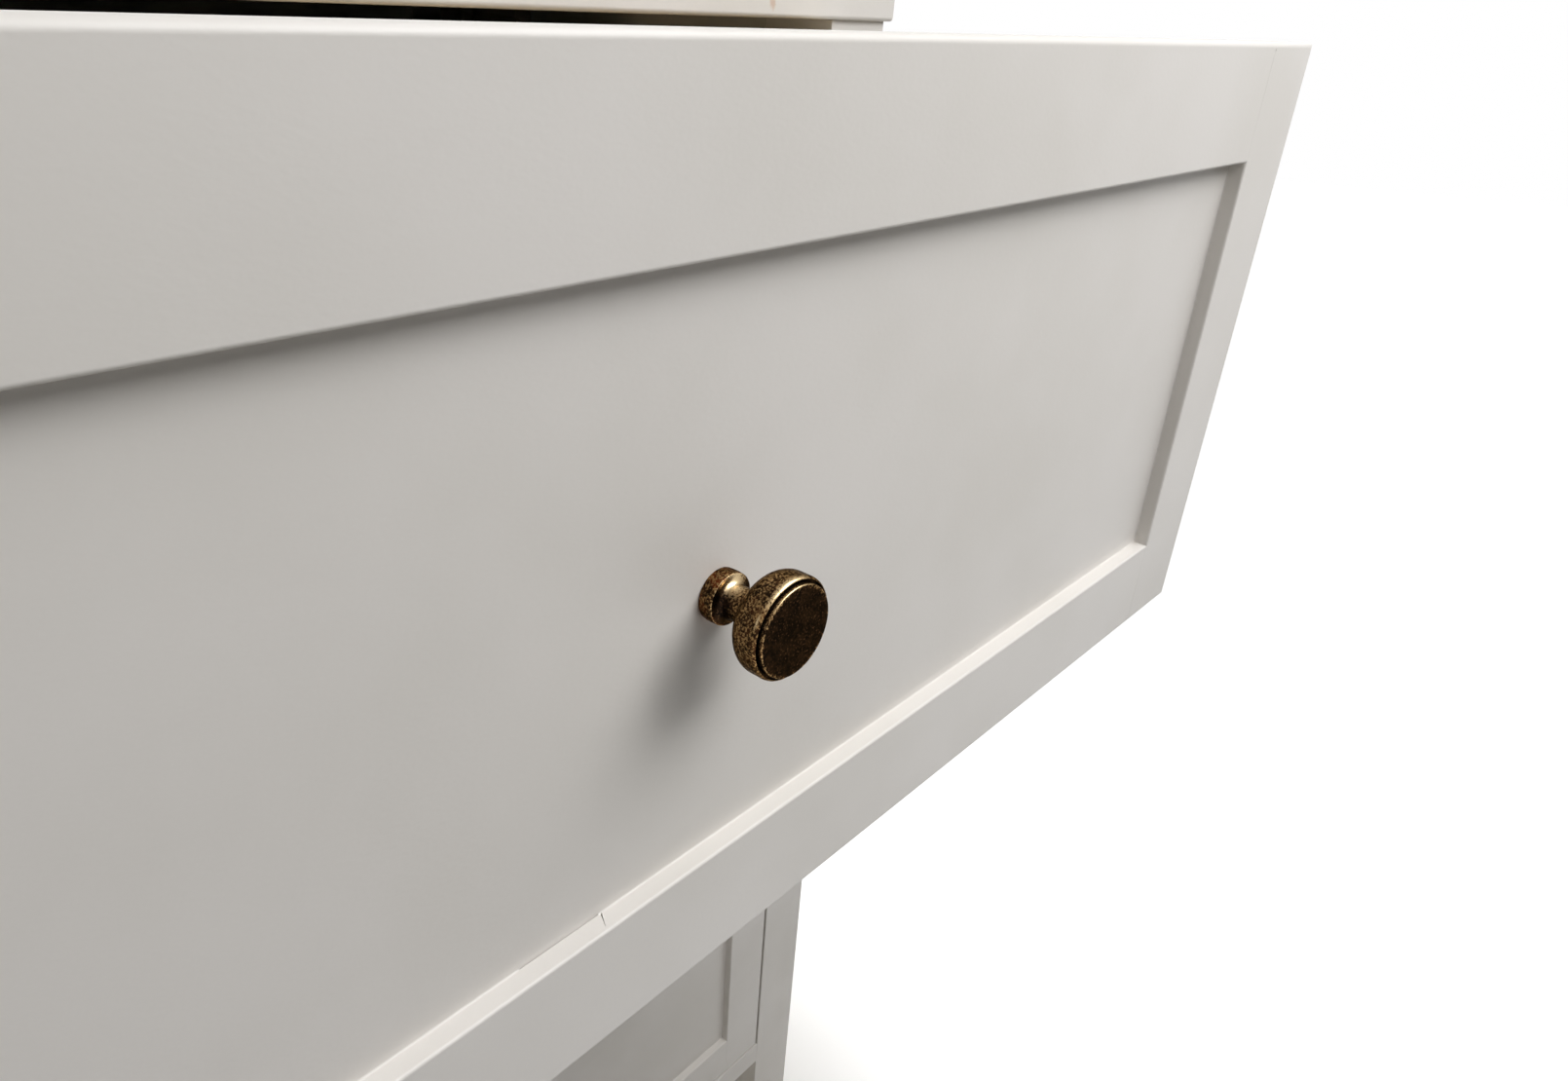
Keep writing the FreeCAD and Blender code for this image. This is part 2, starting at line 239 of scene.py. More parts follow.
@dataclass(frozen=True)
class SatinEnamel(Finish):
    """Satin enamel, sprayed over sanded primer on birch.

    The eye gets an even, warm off-white with a soft sheen, a fine orange peel where the spray
    levelled out, and slow clouds where the film is a little thicker.
    """

    label: str = "satin_enamel_sprayed_on_birch"
    coat: str = "#E3DFDA"
    thick_coat: str = "#DEDAD4"
    roughness: float = 0.44
    roughness_swing: float = 0.10
    ior: float = 1.5
    peel_mm: float = 1.1
    peel_depth_mm: float = 0.030
    peel_length_share: float = 0.55
    peel_octaves: float = 1.5
    peel_grain: float = 0.45
    fibre_mm: float = 0.9
    fibre_depth_mm: float = 0.008
    fibre_length_share: float = 0.04
    cloud_mm: float = 70.0
    thickness_range: tuple[float, float] = (0.3, 0.7)
    sheen_range: tuple[float, float] = (0.25, 0.75)

    def shade(self, add: Adder, place: Socket, along: Axis) -> Socket:
        """Builds the enamel's shader.

        Args:
            add: Adds a node to the material.
            place: The object's coordinates.
            along: Direction of the fibres under the paint.

        Returns:
            The shader's output.
        """
        sprayed = add("VectorMath", (place, stretched(along, self.peel_length_share)),
                      operation="MULTIPLY")
        fibres = add("VectorMath", (place, stretched(along, self.fibre_length_share)),
                     operation="MULTIPLY")
        peel = add("TexNoise", {"Vector": sprayed, "Scale": repeats(self.peel_mm),
                                "Detail": self.peel_octaves, "Roughness": self.peel_grain})
        fibre = add("TexNoise", {"Vector": fibres, "Scale": repeats(self.fibre_mm), "Detail": SOFT})
        cloud = add("TexNoise", {"Vector": place, "Scale": repeats(self.cloud_mm), "Detail": CRISP})
        swing = self.roughness_swing / 2
        gloss = add("MapRange", (cloud, *self.sheen_range, self.roughness - swing,
                                 self.roughness + swing))
        relief = add("Bump", {"Height": fibre, "Distance": self.fibre_depth_mm * MM})
        relief = add("Bump", {"Height": peel, "Distance": self.peel_depth_mm * MM,
                              "Normal": relief})
        colour = self.tint(add, place, cloud)
        return add("BsdfPrincipled", {"Base Color": colour, "Roughness": gloss, "IOR": self.ior,
                                      "Normal": relief})

    def tint(self, add: Adder, place: Socket, cloud: Socket) -> Socket:
        """The coat's colour, a little deeper where the film is thick."""
        film = add("MapRange", (cloud, *self.thickness_range), **SMOOTH)
        return add("Mix", {SHARE: film, FIRST: linear(self.coat), SECOND: linear(self.thick_coat)},
                   **COLOURS)


@dataclass(frozen=True)
class MarkedEnamel(SatinEnamel):
    """The same sprayed enamel with one small brownish smear on the front edge of the top.

    The eye gets a faint, soft-edged stain about the size of a lentil.
    """

    label: str = "satin_enamel_with_a_smear"
    smear: str = "#C7A184"
    smear_place: tuple[float, float, float] = (0.2655, -0.0810, 0.9528)
    smear_reach_mm: tuple[float, float, float] = (3.4, 3.0, 4.4)
    smear_strength: float = 0.55
    smear_edge: tuple[float, float] = (0.75, 1.35)
    smear_raggedness: float = 1.6

    def tint(self, add: Adder, place: Socket, cloud: Socket) -> Socket:
        """Lays the smear over the coat's colour.

        Args:
            add: Adds a node to the material.
            place: The object's coordinates.
            cloud: How thick the film is.

        Returns:
            The colour.
        """
        clean = super().tint(add, place, cloud)
        shift = add("VectorMath", (place, self.smear_place), operation="SUBTRACT")
        reach = tuple(repeats(value) for value in self.smear_reach_mm)
        spread = add("VectorMath", (shift, reach), operation="MULTIPLY")
        distance = add("VectorMath", (spread,), take="Value", operation="LENGTH")
        ragged = add("TexNoise", {"Vector": spread, "Scale": self.smear_raggedness, "Detail": SOFT})
        edge = add("Math", (ragged, distance), operation="ADD")
        mask = add("MapRange", (edge, *self.smear_edge, self.smear_strength, 0.0), **SMOOTH)
        return add("Mix", {SHARE: mask, FIRST: clean, SECOND: linear(self.smear)}, **COLOURS)


@dataclass(frozen=True)
class AgedBrass(Finish):
    """Brass, turned, blackened in a patina bath, tumbled and waxed.

    The eye gets a dark brown metal peppered with small golden-brown specks. On the upper part of
    its rim and cove it turns a whitish gold, which is painted highlight over a little abrasion, and
    the cove darkens towards its underside, which is painted shade over dark patina. The flat face
    is nearly black with faint red-brown clouds, and the foot a little coppery. The real specks are
    finer than a picture of the whole knob can hold, so they are drawn coarse enough to show. The
    weights say how much a patch and each mark add to a speck, which shows bare metal once the sum
    is in worn_range.
    """

    label: str = "brass_turned_and_patinated"
    patina: str = "#22170E"
    brown: str = "#412C1B"
    # Near-black for the face's patina and for the painted shade in the cove's underside.
    black: str = "#100D0C"
    face_cloud: str = "#1F1610"
    face_speck: str = "#4A3424"
    golden: str = "#9A7A50"
    # Whitish gold where the highlight is painted and where edges are abraded.
    rubbed: str = "#DEC69C"
    copper: str = "#6E3418"
    grazing_tint: str = "#BFBBB6"
    speck_mm: float = 0.62
    mottle_mm: float = 1.6
    patch_mm: float = 4.5
    patch_weight: float = 0.14
    rubbing_weight: float = 0.30
    blackening_weight: float = -0.08
    worn_range: tuple[float, float] = (0.52, 0.72)
    brown_range: tuple[float, float] = (0.38, 0.66)
    copper_range: tuple[float, float] = (0.42, 0.62)
    dark_roughness: float = 0.40
    bare_roughness: float = 0.24
    pit_depth_mm: float = 0.03
    pit_strength: float = 0.8

    def shade(self, add: Adder, place: Socket, along: Axis) -> Socket:
        """Builds the patinated brass.

        Args:
            add: Adds a node to the material.
            place: The object's coordinates.
            along: Not used, because turned metal has no fibres.

        Returns:
            The shader's output.
        """
        rubbing, blackening, coppering = [add("Attribute", take="Fac", attribute_name=mark)
                                          for mark in PATINA_AND_LIGHT_MARKS]
        speck = add("TexNoise", {"Vector": place, "Scale": repeats(self.speck_mm), "Detail": CRISP,
                                 "Roughness": GRAINY})
        mottle, patch = [add("TexNoise", {"Vector": place, "Scale": repeats(size), "Detail": SOFT})
                         for size in (self.mottle_mm, self.patch_mm)]
        # Bare metal shows where the sum passes worn_range, so painted highlight raises it and
        # painted shade lowers it.
        wear_and_highlight = speck
        for pattern, weight in ((patch, self.patch_weight), (rubbing, self.rubbing_weight),
                                (blackening, self.blackening_weight)):
            wear_and_highlight = add("Math", (pattern, weight, wear_and_highlight), operation="MULTIPLY_ADD")
        worn_and_highlit = add("MapRange", (wear_and_highlight, *self.worn_range), **SMOOTH)
        stained = add("MapRange", (mottle, *self.brown_range), **SMOOTH)
        reddened = add("MapRange", (patch, *self.copper_range), **SMOOTH)
        reddened = add("Math", (reddened, coppering), operation="MULTIPLY")
        dark = add("Mix", {SHARE: stained, FIRST: linear(self.patina), SECOND: linear(self.brown)},
                   **COLOURS)
        dark = add("Mix", {SHARE: reddened, FIRST: dark, SECOND: linear(self.copper)}, **COLOURS)
        black = add("Mix", {SHARE: stained, FIRST: linear(self.black),
                            SECOND: linear(self.face_cloud)}, **COLOURS)
        # Near-black where the patina is dark on the face and in the groove, and where shade is
        # painted in the cove's underside.
        dark = add("Mix", {SHARE: blackening, FIRST: dark, SECOND: black}, **COLOURS)
        # Whitish where the highlight is painted and where edges are abraded.
        bare = add("Mix", {SHARE: rubbing, FIRST: linear(self.golden), SECOND: linear(self.rubbed)},
                   **COLOURS)
        bare = add("Mix", {SHARE: blackening, FIRST: bare, SECOND: linear(self.face_speck)},
                   **COLOURS)
        colour = add("Mix", {SHARE: worn_and_highlit, FIRST: dark, SECOND: bare}, **COLOURS)
        gloss = add("MapRange", {"Value": worn_and_highlit, "To Min": self.dark_roughness,
                                 "To Max": self.bare_roughness})
        relief = add("Bump", {"Height": speck, "Distance": self.pit_depth_mm * MM,
                              "Strength": self.pit_strength})
        return add("BsdfPrincipled", {"Base Color": colour, "Metallic": 1.0, "Roughness": gloss,
                                      "Specular Tint": linear(self.grazing_tint), "Normal": relief})


@dataclass(frozen=True)
class PlanedWood(Finish):
    """Softwood, flat sawn and planed.

    The eye gets broad growth rings drawn out along the board, dark late wood that ends sharply,
    and true end grain where the board is cut across. Chance moves each board by up to board_shift
    within the tree, so that no two show the same rings. The rings wander by about a quarter of
    wander_mm, because the noise that bends them uses that much of its range.
    """

    label: str = "pine_planed_and_lacquered"
    early_wood: str = "#E3D8C3"
    late_wood: str = "#CFBD9F"
    ring_mm: float = 6.5
    pith_mm: tuple[float, float, float] = (55.0, 64.0, 71.0)
    board_shift: tuple[float, float, float] = (0.31, 0.23, 0.17)
    wander_mm: float = 56.0
    wanders_per_metre: float = 9.0
    wander_length_share: float = 0.22
    late_steepness: float = 2.4
    late_end: float = 0.93
    fibre_mm: float = 0.45
    fibre_depth_mm: float = 0.03
    fibre_strength: float = 0.7
    fibre_length_share: float = 0.02
    fibre_weight: float = 0.35
    tone_range: tuple[float, float] = (0.1, 1.15)
    roughness: float = 0.5
    early_roughness_rise: float = 0.08
    late_roughness_drop: float = 0.06

    def shade(self, add: Adder, place: Socket, along: Axis) -> Socket:
        """Builds the wood as a solid texture round a pith that lies beside the board.

        Args:
            add: Adds a node to the material.
            place: The object's coordinates.
            along: Direction of the fibres.

        Returns:
            The shader's output.
        """
        chance = add("ObjectInfo", take="Random")
        pith = tuple(value * MM for value in self.pith_mm)
        moved = add("VectorMath", (chance, self.board_shift, place), operation="MULTIPLY_ADD")
        moved = add("VectorMath", (moved, pith), operation="ADD")
        slow = add("VectorMath", (moved, stretched(along, self.wander_length_share)),
                   operation="MULTIPLY")
        bend = add("TexNoise", {"Vector": slow, "Scale": self.wanders_per_metre, "Detail": SOFT},
                   take="Color")
        bend = add("VectorMath", (bend, NOISE_MIDDLE), operation="SUBTRACT")
        wander = (self.wander_mm * MM,) * 3
        bend = add("VectorMath", (bend, wander, moved), operation="MULTIPLY_ADD")
        flat = add("VectorMath", (bend, stretched(along, 0.0)), operation="MULTIPLY")
        radius = add("VectorMath", (flat,), take="Value", operation="LENGTH")
        rings = add("Math", (radius, repeats(self.ring_mm)), operation="MULTIPLY")
        ring = add("Math", (rings,), operation="FRACT")
        late = add("Math", (ring, self.late_steepness), operation="POWER")
        cut = add("MapRange", (ring, self.late_end, 1.0, 1.0, 0.0))
        late = add("Math", (late, cut), operation="MULTIPLY")
        drawn = add("VectorMath", (moved, stretched(along, self.fibre_length_share)),
                    operation="MULTIPLY")
        fibre = add("TexNoise", {"Vector": drawn, "Scale": repeats(self.fibre_mm), "Detail": CRISP,
                                 "Roughness": GRAINY})
        tone = add("Math", (fibre, self.fibre_weight, late), operation="MULTIPLY_ADD")
        tone = add("MapRange", (tone, *self.tone_range))
        colour = add("Mix", {SHARE: tone, FIRST: linear(self.early_wood),
                             SECOND: linear(self.late_wood)}, **COLOURS)
        gloss = add("MapRange", {"Value": tone,
                                 "To Min": self.roughness + self.early_roughness_rise,
                                 "To Max": self.roughness - self.late_roughness_drop})
        relief = add("Bump", {"Height": tone, "Distance": self.fibre_depth_mm * MM,
                              "Strength": self.fibre_strength})
        return add("BsdfPrincipled", {"Base Color": colour, "Roughness": gloss, "Normal": relief})


@dataclass(frozen=True)
class BirchPly(Finish):
    """Birch plywood, rotary cut, hot pressed and sanded.

    The eye gets a pale face with slow watery figure and, on a cut edge, thin plies that are light
    and dark by turns.
    """

    label: str = "birch_plywood_pressed_and_sanded"
    face: str = "#E0D4BF"
    figure: str = "#D2C2A6"
    end_ply: str = "#B5946C"
    ply_mm: float = 1.35
    figure_mm: float = 26.0
    figure_length_share: float = 0.16
    figure_waves: float = 34.0
    fibre_mm: float = 0.5
    fibre_depth_mm: float = 0.02
    fibre_strength: float = 0.6
    fibre_length_share: float = 0.03
    face_range: tuple[float, float] = (0.4, 0.6)
    roughness: float = 0.6

    def shade(self, add: Adder, place: Socket, along: Axis) -> Socket:
        """Builds the plywood, whose faces look along Z on a bottom and along Y on a back.

        Args:
            add: Adds a node to the material.
            place: The object's coordinates.
            along: UP for an upright back, any other for a flat bottom.

        Returns:
            The shader's output.
        """
        through = Axis.DEEP if along is Axis.UP else Axis.UP
        drawn = add("VectorMath", (place, stretched(along, self.figure_length_share)),
                    operation="MULTIPLY")
        bend = add("TexNoise", {"Vector": drawn, "Scale": repeats(self.figure_mm), "Detail": CRISP})
        waves = add("Math", (bend, self.figure_waves), operation="MULTIPLY")
        wave = add("Math", (waves,), operation="SINE")
        wave = add("Math", (wave, 0.5, 0.5), operation="MULTIPLY_ADD")
        fine = add("VectorMath", (place, stretched(along, self.fibre_length_share)),
                   operation="MULTIPLY")
        fibre = add("TexNoise", {"Vector": fine, "Scale": repeats(self.fibre_mm), "Detail": SOFT})
        tone = add("Math", (fibre, wave), operation="MULTIPLY")
        veneer = add("Mix", {SHARE: tone, FIRST: linear(self.face), SECOND: linear(self.figure)},
                     **COLOURS)
        depth = add("SeparateXYZ", (place,), take=through.value)
        plies = add("Math", (depth, math.pi * repeats(self.ply_mm)), operation="MULTIPLY")
        ply = add("Math", (plies,), operation="SINE")
        ply = add("Math", (ply, 0.0), operation="GREATER_THAN")
        edge = add("Mix", {SHARE: ply, FIRST: linear(self.face), SECOND: linear(self.end_ply)},
                   **COLOURS)
        facing = add("SeparateXYZ", (add("TexCoord", take="Normal"),), take=through.value)
        facing = add("Math", (facing,), operation="ABSOLUTE")
        is_face = add("MapRange", (facing, *self.face_range))
        colour = add("Mix", {SHARE: is_face, FIRST: edge, SECOND: veneer}, **COLOURS)
        relief = add("Bump", {"Height": fibre, "Distance": self.fibre_depth_mm * MM,
                              "Strength": self.fibre_strength})
        return add("BsdfPrincipled", {"Base Color": colour, "Roughness": self.roughness,
                                      "Normal": relief})


@dataclass(frozen=True)
class ZincSteel(Finish):
    """Mild steel, cold headed and zinc plated.

    The eye gets a pale grey metal with a slightly cloudy, crystalline plating.
    """

    label: str = "steel_zinc_plated"
    plating: str = "#C9CACB"
    cloudy: str = "#A9ABAE"
    crystal_mm: float = 0.6
    crystal_depth_mm: float = 0.01
    plating_roughness: float = 0.24
    cloudy_roughness: float = 0.46

    def shade(self, add: Adder, place: Socket, along: Axis) -> Socket:
        """Builds the plated steel.

        Args:
            add: Adds a node to the material.
            place: The object's coordinates.
            along: Not used, because the plating has no direction.

        Returns:
            The shader's output.
        """
        crystal = add("TexNoise", {"Vector": place, "Scale": repeats(self.crystal_mm),
                                   "Detail": CRISP})
        colour = add("Mix", {SHARE: crystal, FIRST: linear(self.plating),
                             SECOND: linear(self.cloudy)}, **COLOURS)
        gloss = add("MapRange", {"Value": crystal, "To Min": self.plating_roughness,
                                 "To Max": self.cloudy_roughness})
        relief = add("Bump", {"Height": crystal, "Distance": self.crystal_depth_mm * MM})
        return add("BsdfPrincipled", {"Base Color": colour, "Metallic": 1.0, "Roughness": gloss,
                                      "Normal": relief})


@dataclass(frozen=True)
class GlidePlastic(Finish):
    """Polyethylene, injection moulded with a spark-eroded grain.

    The eye gets a matt brown-black plastic with fine pimples.
    """

    label: str = "polyethylene_moulded"
    colour: str = "#3A332C"
    scuffed: str = "#4E463D"
    grain_mm: float = 0.5
    grain_depth_mm: float = 0.05
    scuff_range: tuple[float, float] = (0.45, 0.75)
    roughness: float = 0.58
    ior: float = 1.51

    def shade(self, add: Adder, place: Socket, along: Axis) -> Socket:
        """Builds the moulded plastic.

        Args:
            add: Adds a node to the material.
            place: The object's coordinates.
            along: Not used, because the plastic has no direction.

        Returns:
            The shader's output.
        """
        grain = add("TexNoise", {"Vector": place, "Scale": repeats(self.grain_mm), "Detail": SOFT})
        tone = add("MapRange", (grain, *self.scuff_range))
        colour = add("Mix", {SHARE: tone, FIRST: linear(self.colour), SECOND: linear(self.scuffed)},
                     **COLOURS)
        relief = add("Bump", {"Height": grain, "Distance": self.grain_depth_mm * MM})
        return add("BsdfPrincipled", {"Base Color": colour, "Roughness": self.roughness,
                                      "IOR": self.ior, "Normal": relief})


@dataclass(frozen=True)
class StudioPaper(Finish):
    """Matt paper on the studio floor, which the camera sees as white away from the chest.

    The eye gets a plain pale ground that fades to white a step away from the chest and keeps the
    soft shadow next to the feet.
    """

    label: str = "paper_matt"
    colour: str = "#E7E5E1"
    roughness: float = 0.9
    specular_level: float = 0.2
    tooth_mm: float = 3.0
    tooth_depth_mm: float = 0.05
    lift_near: float = 0.06
    lift_far: float = 1.0
    near: float = 0.28
    far: float = 0.66

    def shade(self, add: Adder, place: Socket, along: Axis) -> Socket:
        """Builds the paper, with more white for camera, glossy and transmission rays.

        Args:
            add: Adds a node to the material.
            place: The object's coordinates.
            along: Not used, because the paper has no direction.

        Returns:
            The shader's output.
        """
        tooth = add("TexNoise", {"Vector": place, "Scale": repeats(self.tooth_mm), "Detail": SOFT})
        relief = add("Bump", {"Height": tooth, "Distance": self.tooth_depth_mm * MM})
        paper = add("BsdfPrincipled", {"Base Color": linear(self.colour),
                                       "Roughness": self.roughness,
                                       "Specular IOR Level": self.specular_level,
                                       "Normal": relief})
        distance = add("VectorMath", (place,), take="Value", operation="LENGTH")
        lift = add("MapRange", (distance, self.near, self.far, self.lift_near, self.lift_far),
                   **SMOOTH)
        strength = add("Math", (lift, seen_directly(add)), operation="MULTIPLY")
        return add("AddShader", (paper, add("Emission", {"Strength": strength})))


ENAMEL = SatinEnamel()
MARKED_ENAMEL = MarkedEnamel()
BRASS = AgedBrass()
BOX_WOOD = PlanedWood()
# Poplar, sawn and planed and left bare: a greyer wood with no gloss.
FRAME_WOOD = PlanedWood(label="poplar_sawn_and_planed", early_wood="#D6CCC0", late_wood="#BFB0A1",
                        roughness=0.66)
# Primer, rolled on plywood and not sanded: a flat greyish white with a coarser peel.
PRIMER = SatinEnamel(label="primer_rolled_on_plywood", coat="#D6D4CE", thick_coat="#D2D0C9",
                     roughness=0.62, peel_mm=1.6, peel_depth_mm=0.05)
PLYWOOD = BirchPly()
ZINC = ZincSteel()
PLASTIC = GlidePlastic()


def mesh_data(name: str, mesh: bmesh.types.BMesh) -> bpy.types.Mesh:
    """Turns a mesh in the making into mesh data.

    Args:
        name: Name of the data.
        mesh: The mesh, which is used up.

    Returns:
        The data.
    """
    data = bpy.data.meshes.new(name)
    mesh.to_mesh(data)
    mesh.free()
    return data


def scene_object(name: str, data: bpy.types.ID) -> bpy.types.Object:
    """Puts a mesh, a lamp or a camera into the scene.

    Args:
        name: Name of the object.
        data: What it holds.

    Returns:
        The object.
    """
    made = bpy.data.objects.new(name, data)
    bpy.context.scene.collection.objects.link(made)
    return made


class Workpiece:
    """A piece on the bench: a mesh that is cut, rounded and eased, then finished."""

    merge = 0.002 * MM
    flat_angle = math.radians(0.3)
    sharp_angle = math.radians(50)
    smooth_angle = math.radians(40)
    same_place = 0.03 * MM
    round_profile = 0.5
    short_edge = 4 * MM
    easing_segments = 2
    flat_face_weight = 100

    def __init__(self, mesh: bmesh.types.BMesh) -> None:
        """Takes over a mesh to work on."""
        self.mesh = mesh

    @classmethod
    def board(cls, low: Sequence[float], high: Sequence[float],
              marks_z: Iterable[float] = ()) -> "Workpiece":
        """A square-edged board.

        Args:
            low: Its lowest corner.
            high: Its highest corner.
            marks_z: Heights at which its edges are divided, so that each stretch can differ.

        Returns:
            The board.
        """
        mesh = bmesh.new()
        low, high = Vector(low), Vector(high)
        place = Matrix.Translation((low + high) / 2) @ Matrix.Diagonal((*(high - low), 1))
        bmesh.ops.create_cube(mesh, size=1.0, matrix=place)
        for height in marks_z:
            bmesh.ops.bisect_plane(mesh, geom=mesh.verts[:] + mesh.edges[:] + mesh.faces[:],
                                   plane_co=(0, 0, height), plane_no=(0, 0, 1))
        return cls(mesh)

    @classmethod
    def wedge(cls, points: Iterable[Sequence[float]]) -> "Workpiece":
        """A solid that just holds the points, to cut with.

        Args:
            points: Its corners.

        Returns:
            The solid.
        """
        mesh = bmesh.new()
        corners = [mesh.verts.new(point) for point in points]
        bmesh.ops.convex_hull(mesh, input=corners)
        return cls(mesh)

    @classmethod
    def copied(cls, node: str) -> "Workpiece":
        """The frame's own shape of a node, with its flat faces made whole again.

        Args:
            node: Name of the node.

        Returns:
            The copy.
        """
        mesh = bmesh.new()
        mesh.from_mesh(frame["nodes"][node].data)
        bmesh.ops.remove_doubles(mesh, verts=mesh.verts, dist=cls.merge)
        bmesh.ops.dissolve_limit(mesh, angle_limit=cls.flat_angle, verts=mesh.verts,
                                 edges=mesh.edges)
        return cls(mesh)

    @classmethod
    def turned(cls, outline: Sequence[tuple[float, float]], sides: int, start: Vector,
               towards: Vector) -> "Workpiece":
        """A piece turned on a lathe.

        Args:
            outline: Radius and height of each point, from the axis round to the axis again.
            sides: Number of faces round the piece.
            start: Place of the outline's zero height.
            towards: Direction of growing height.

        Returns:
            The turned piece.
        """
        mesh = bmesh.new()
        turn = towards.to_track_quat("Z", "Y").to_matrix()
        rings = []
        for radius, height in outline:
            ring = []
            for index in range(sides if radius > cls.merge else 1):
                angle = 2 * math.pi * index / sides
                spot = Vector((radius * math.cos(angle), radius * math.sin(angle), height))
                ring.append(mesh.verts.new(start + turn @ spot))
            rings.append(ring)
        for inner, outer in zip(rings, rings[1:]):
            for index in range(sides):
                after = (index + 1) % sides
                corners = [inner[index % len(inner)], inner[after % len(inner)],
                           outer[after % len(outer)], outer[index % len(outer)]]
                mesh.faces.new(list(dict.fromkeys(corners)))
        bmesh.ops.recalc_face_normals(mesh, faces=mesh.faces)
        return cls(mesh)

    def near(self, value: float, target: float) -> bool:
        """Whether two coordinates are the same place."""
        return abs(value - target) < self.same_place

    def is_sharp(self, edge: bmesh.types.BMEdge) -> bool:
        """Whether an edge is an outside corner."""
        return (len(edge.link_faces) == 2 and edge.is_convex
                and edge.calc_face_angle() > self.sharp_angle)

    def soften(self, radius: float, segments: int,
               keep: Callable[[bmesh.types.BMEdge], bool]) -> "Workpiece":
        """Rounds over the outside corners that pass a test.

        Args:
            radius: Radius of the arris.
            segments: Number of faces across it.
            keep: Test of an edge.

        Returns:
            The same piece.
        """
        chosen = [edge for edge in self.mesh.edges if keep(edge) and self.is_sharp(edge)]
        bmesh.ops.bevel(self.mesh, geom=chosen, offset=radius, offset_type="OFFSET", affect="EDGES",
                        segments=segments, profile=self.round_profile, clamp_overlap=False)
        return self

    def round(self, radius: float, segments: int, keep: Callable[[Vector], bool]) -> "Workpiece":
        """Rounds over the outside corners whose middle point passes a test."""
        return self.soften(radius, segments,
                           lambda edge: keep((edge.verts[0].co + edge.verts[1].co) / 2))

    def ease(self, radius: float, shortest: float = short_edge) -> "Workpiece":
        """Takes the sharpness off every outside corner that is longer than a length."""
        return self.soften(radius, self.easing_segments,
                           lambda edge: edge.calc_length() > shortest)

    def with_tool(self, tool: "Workpiece", operation: str) -> "Workpiece":
        """Cuts a tool's shape out of the piece, or joins it on.

        Args:
            tool: The other shape, which is used up.
            operation: DIFFERENCE or UNION.

        Returns:
            The same piece.
        """
        shapes = []
        for source in (self.mesh, tool.mesh):
            bmesh.ops.recalc_face_normals(source, faces=source.faces)
            shapes.append(scene_object("bench", mesh_data("bench", source)))
        cut = shapes[0].modifiers.new("cut", "BOOLEAN")
        cut.object = shapes[1]
        cut.operation = operation
        cut.solver = "EXACT"
        result = shapes[0].evaluated_get(bpy.context.evaluated_depsgraph_get()).to_mesh()
        self.mesh = bmesh.new()
        self.mesh.from_mesh(result)
        for shape in shapes:
            data = shape.data
            bpy.data.objects.remove(shape)
            bpy.data.meshes.remove(data)
        return self

    def cut(self, tool: "Workpiece") -> "Workpiece":
        """Cuts a tool's shape out of the piece."""
        return self.with_tool(tool, "DIFFERENCE")

    def join(self, other: "Workpiece") -> "Workpiece":
        """Makes the piece and another one a single solid."""
        return self.with_tool(other, "UNION")

    def add(self, other: "Workpiece") -> "Workpiece":
        """Lays another shape beside the piece in the same mesh.

        Args:
            other: The other shape, which is used up.

        Returns:
            The same piece.
        """
        data = mesh_data("bench", other.mesh)
        self.mesh.from_mesh(data)
        bpy.data.meshes.remove(data)
        return self

    def mirrored(self) -> "Workpiece":
        """The same piece for the other side of the chest.

        Returns:
            A new piece, and this one stays as it is.
        """
        twin = self.mesh.copy()
        bmesh.ops.scale(twin, vec=(-1, 1, 1), verts=twin.verts)
        bmesh.ops.reverse_faces(twin, faces=twin.faces)
        return Workpiece(twin)

    def finish(self, node: str, slot: str, finish: Finish,
               along: Axis = Axis.ACROSS) -> bpy.types.Object:
        """Gives the piece its material and puts it in the node's place.

        Args:
            node: Node that the piece stands for.
            slot: The record's material slot, which is not used.
            finish: Its finish.
            along: Direction of its fibres.

        Returns:
            The finished object.
        """
        data = mesh_data(node + "_piece", self.mesh)
        data.polygons.foreach_set("use_smooth", [True] * len(data.polygons))
        data.set_sharp_from_angle(angle=self.smooth_angle)
        data.materials.append(finish.material(along))
        piece = scene_object(node + "_piece", data)
        flats = piece.modifiers.new("flat_faces", "WEIGHTED_NORMAL")
        flats.keep_sharp = True
        flats.weight = self.flat_face_weight
        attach(piece, frame["nodes"][node]["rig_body"])
        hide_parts(node)
        log.info("%s stands for %s in %s", piece.name, node, data.materials[0].name)
        return piece


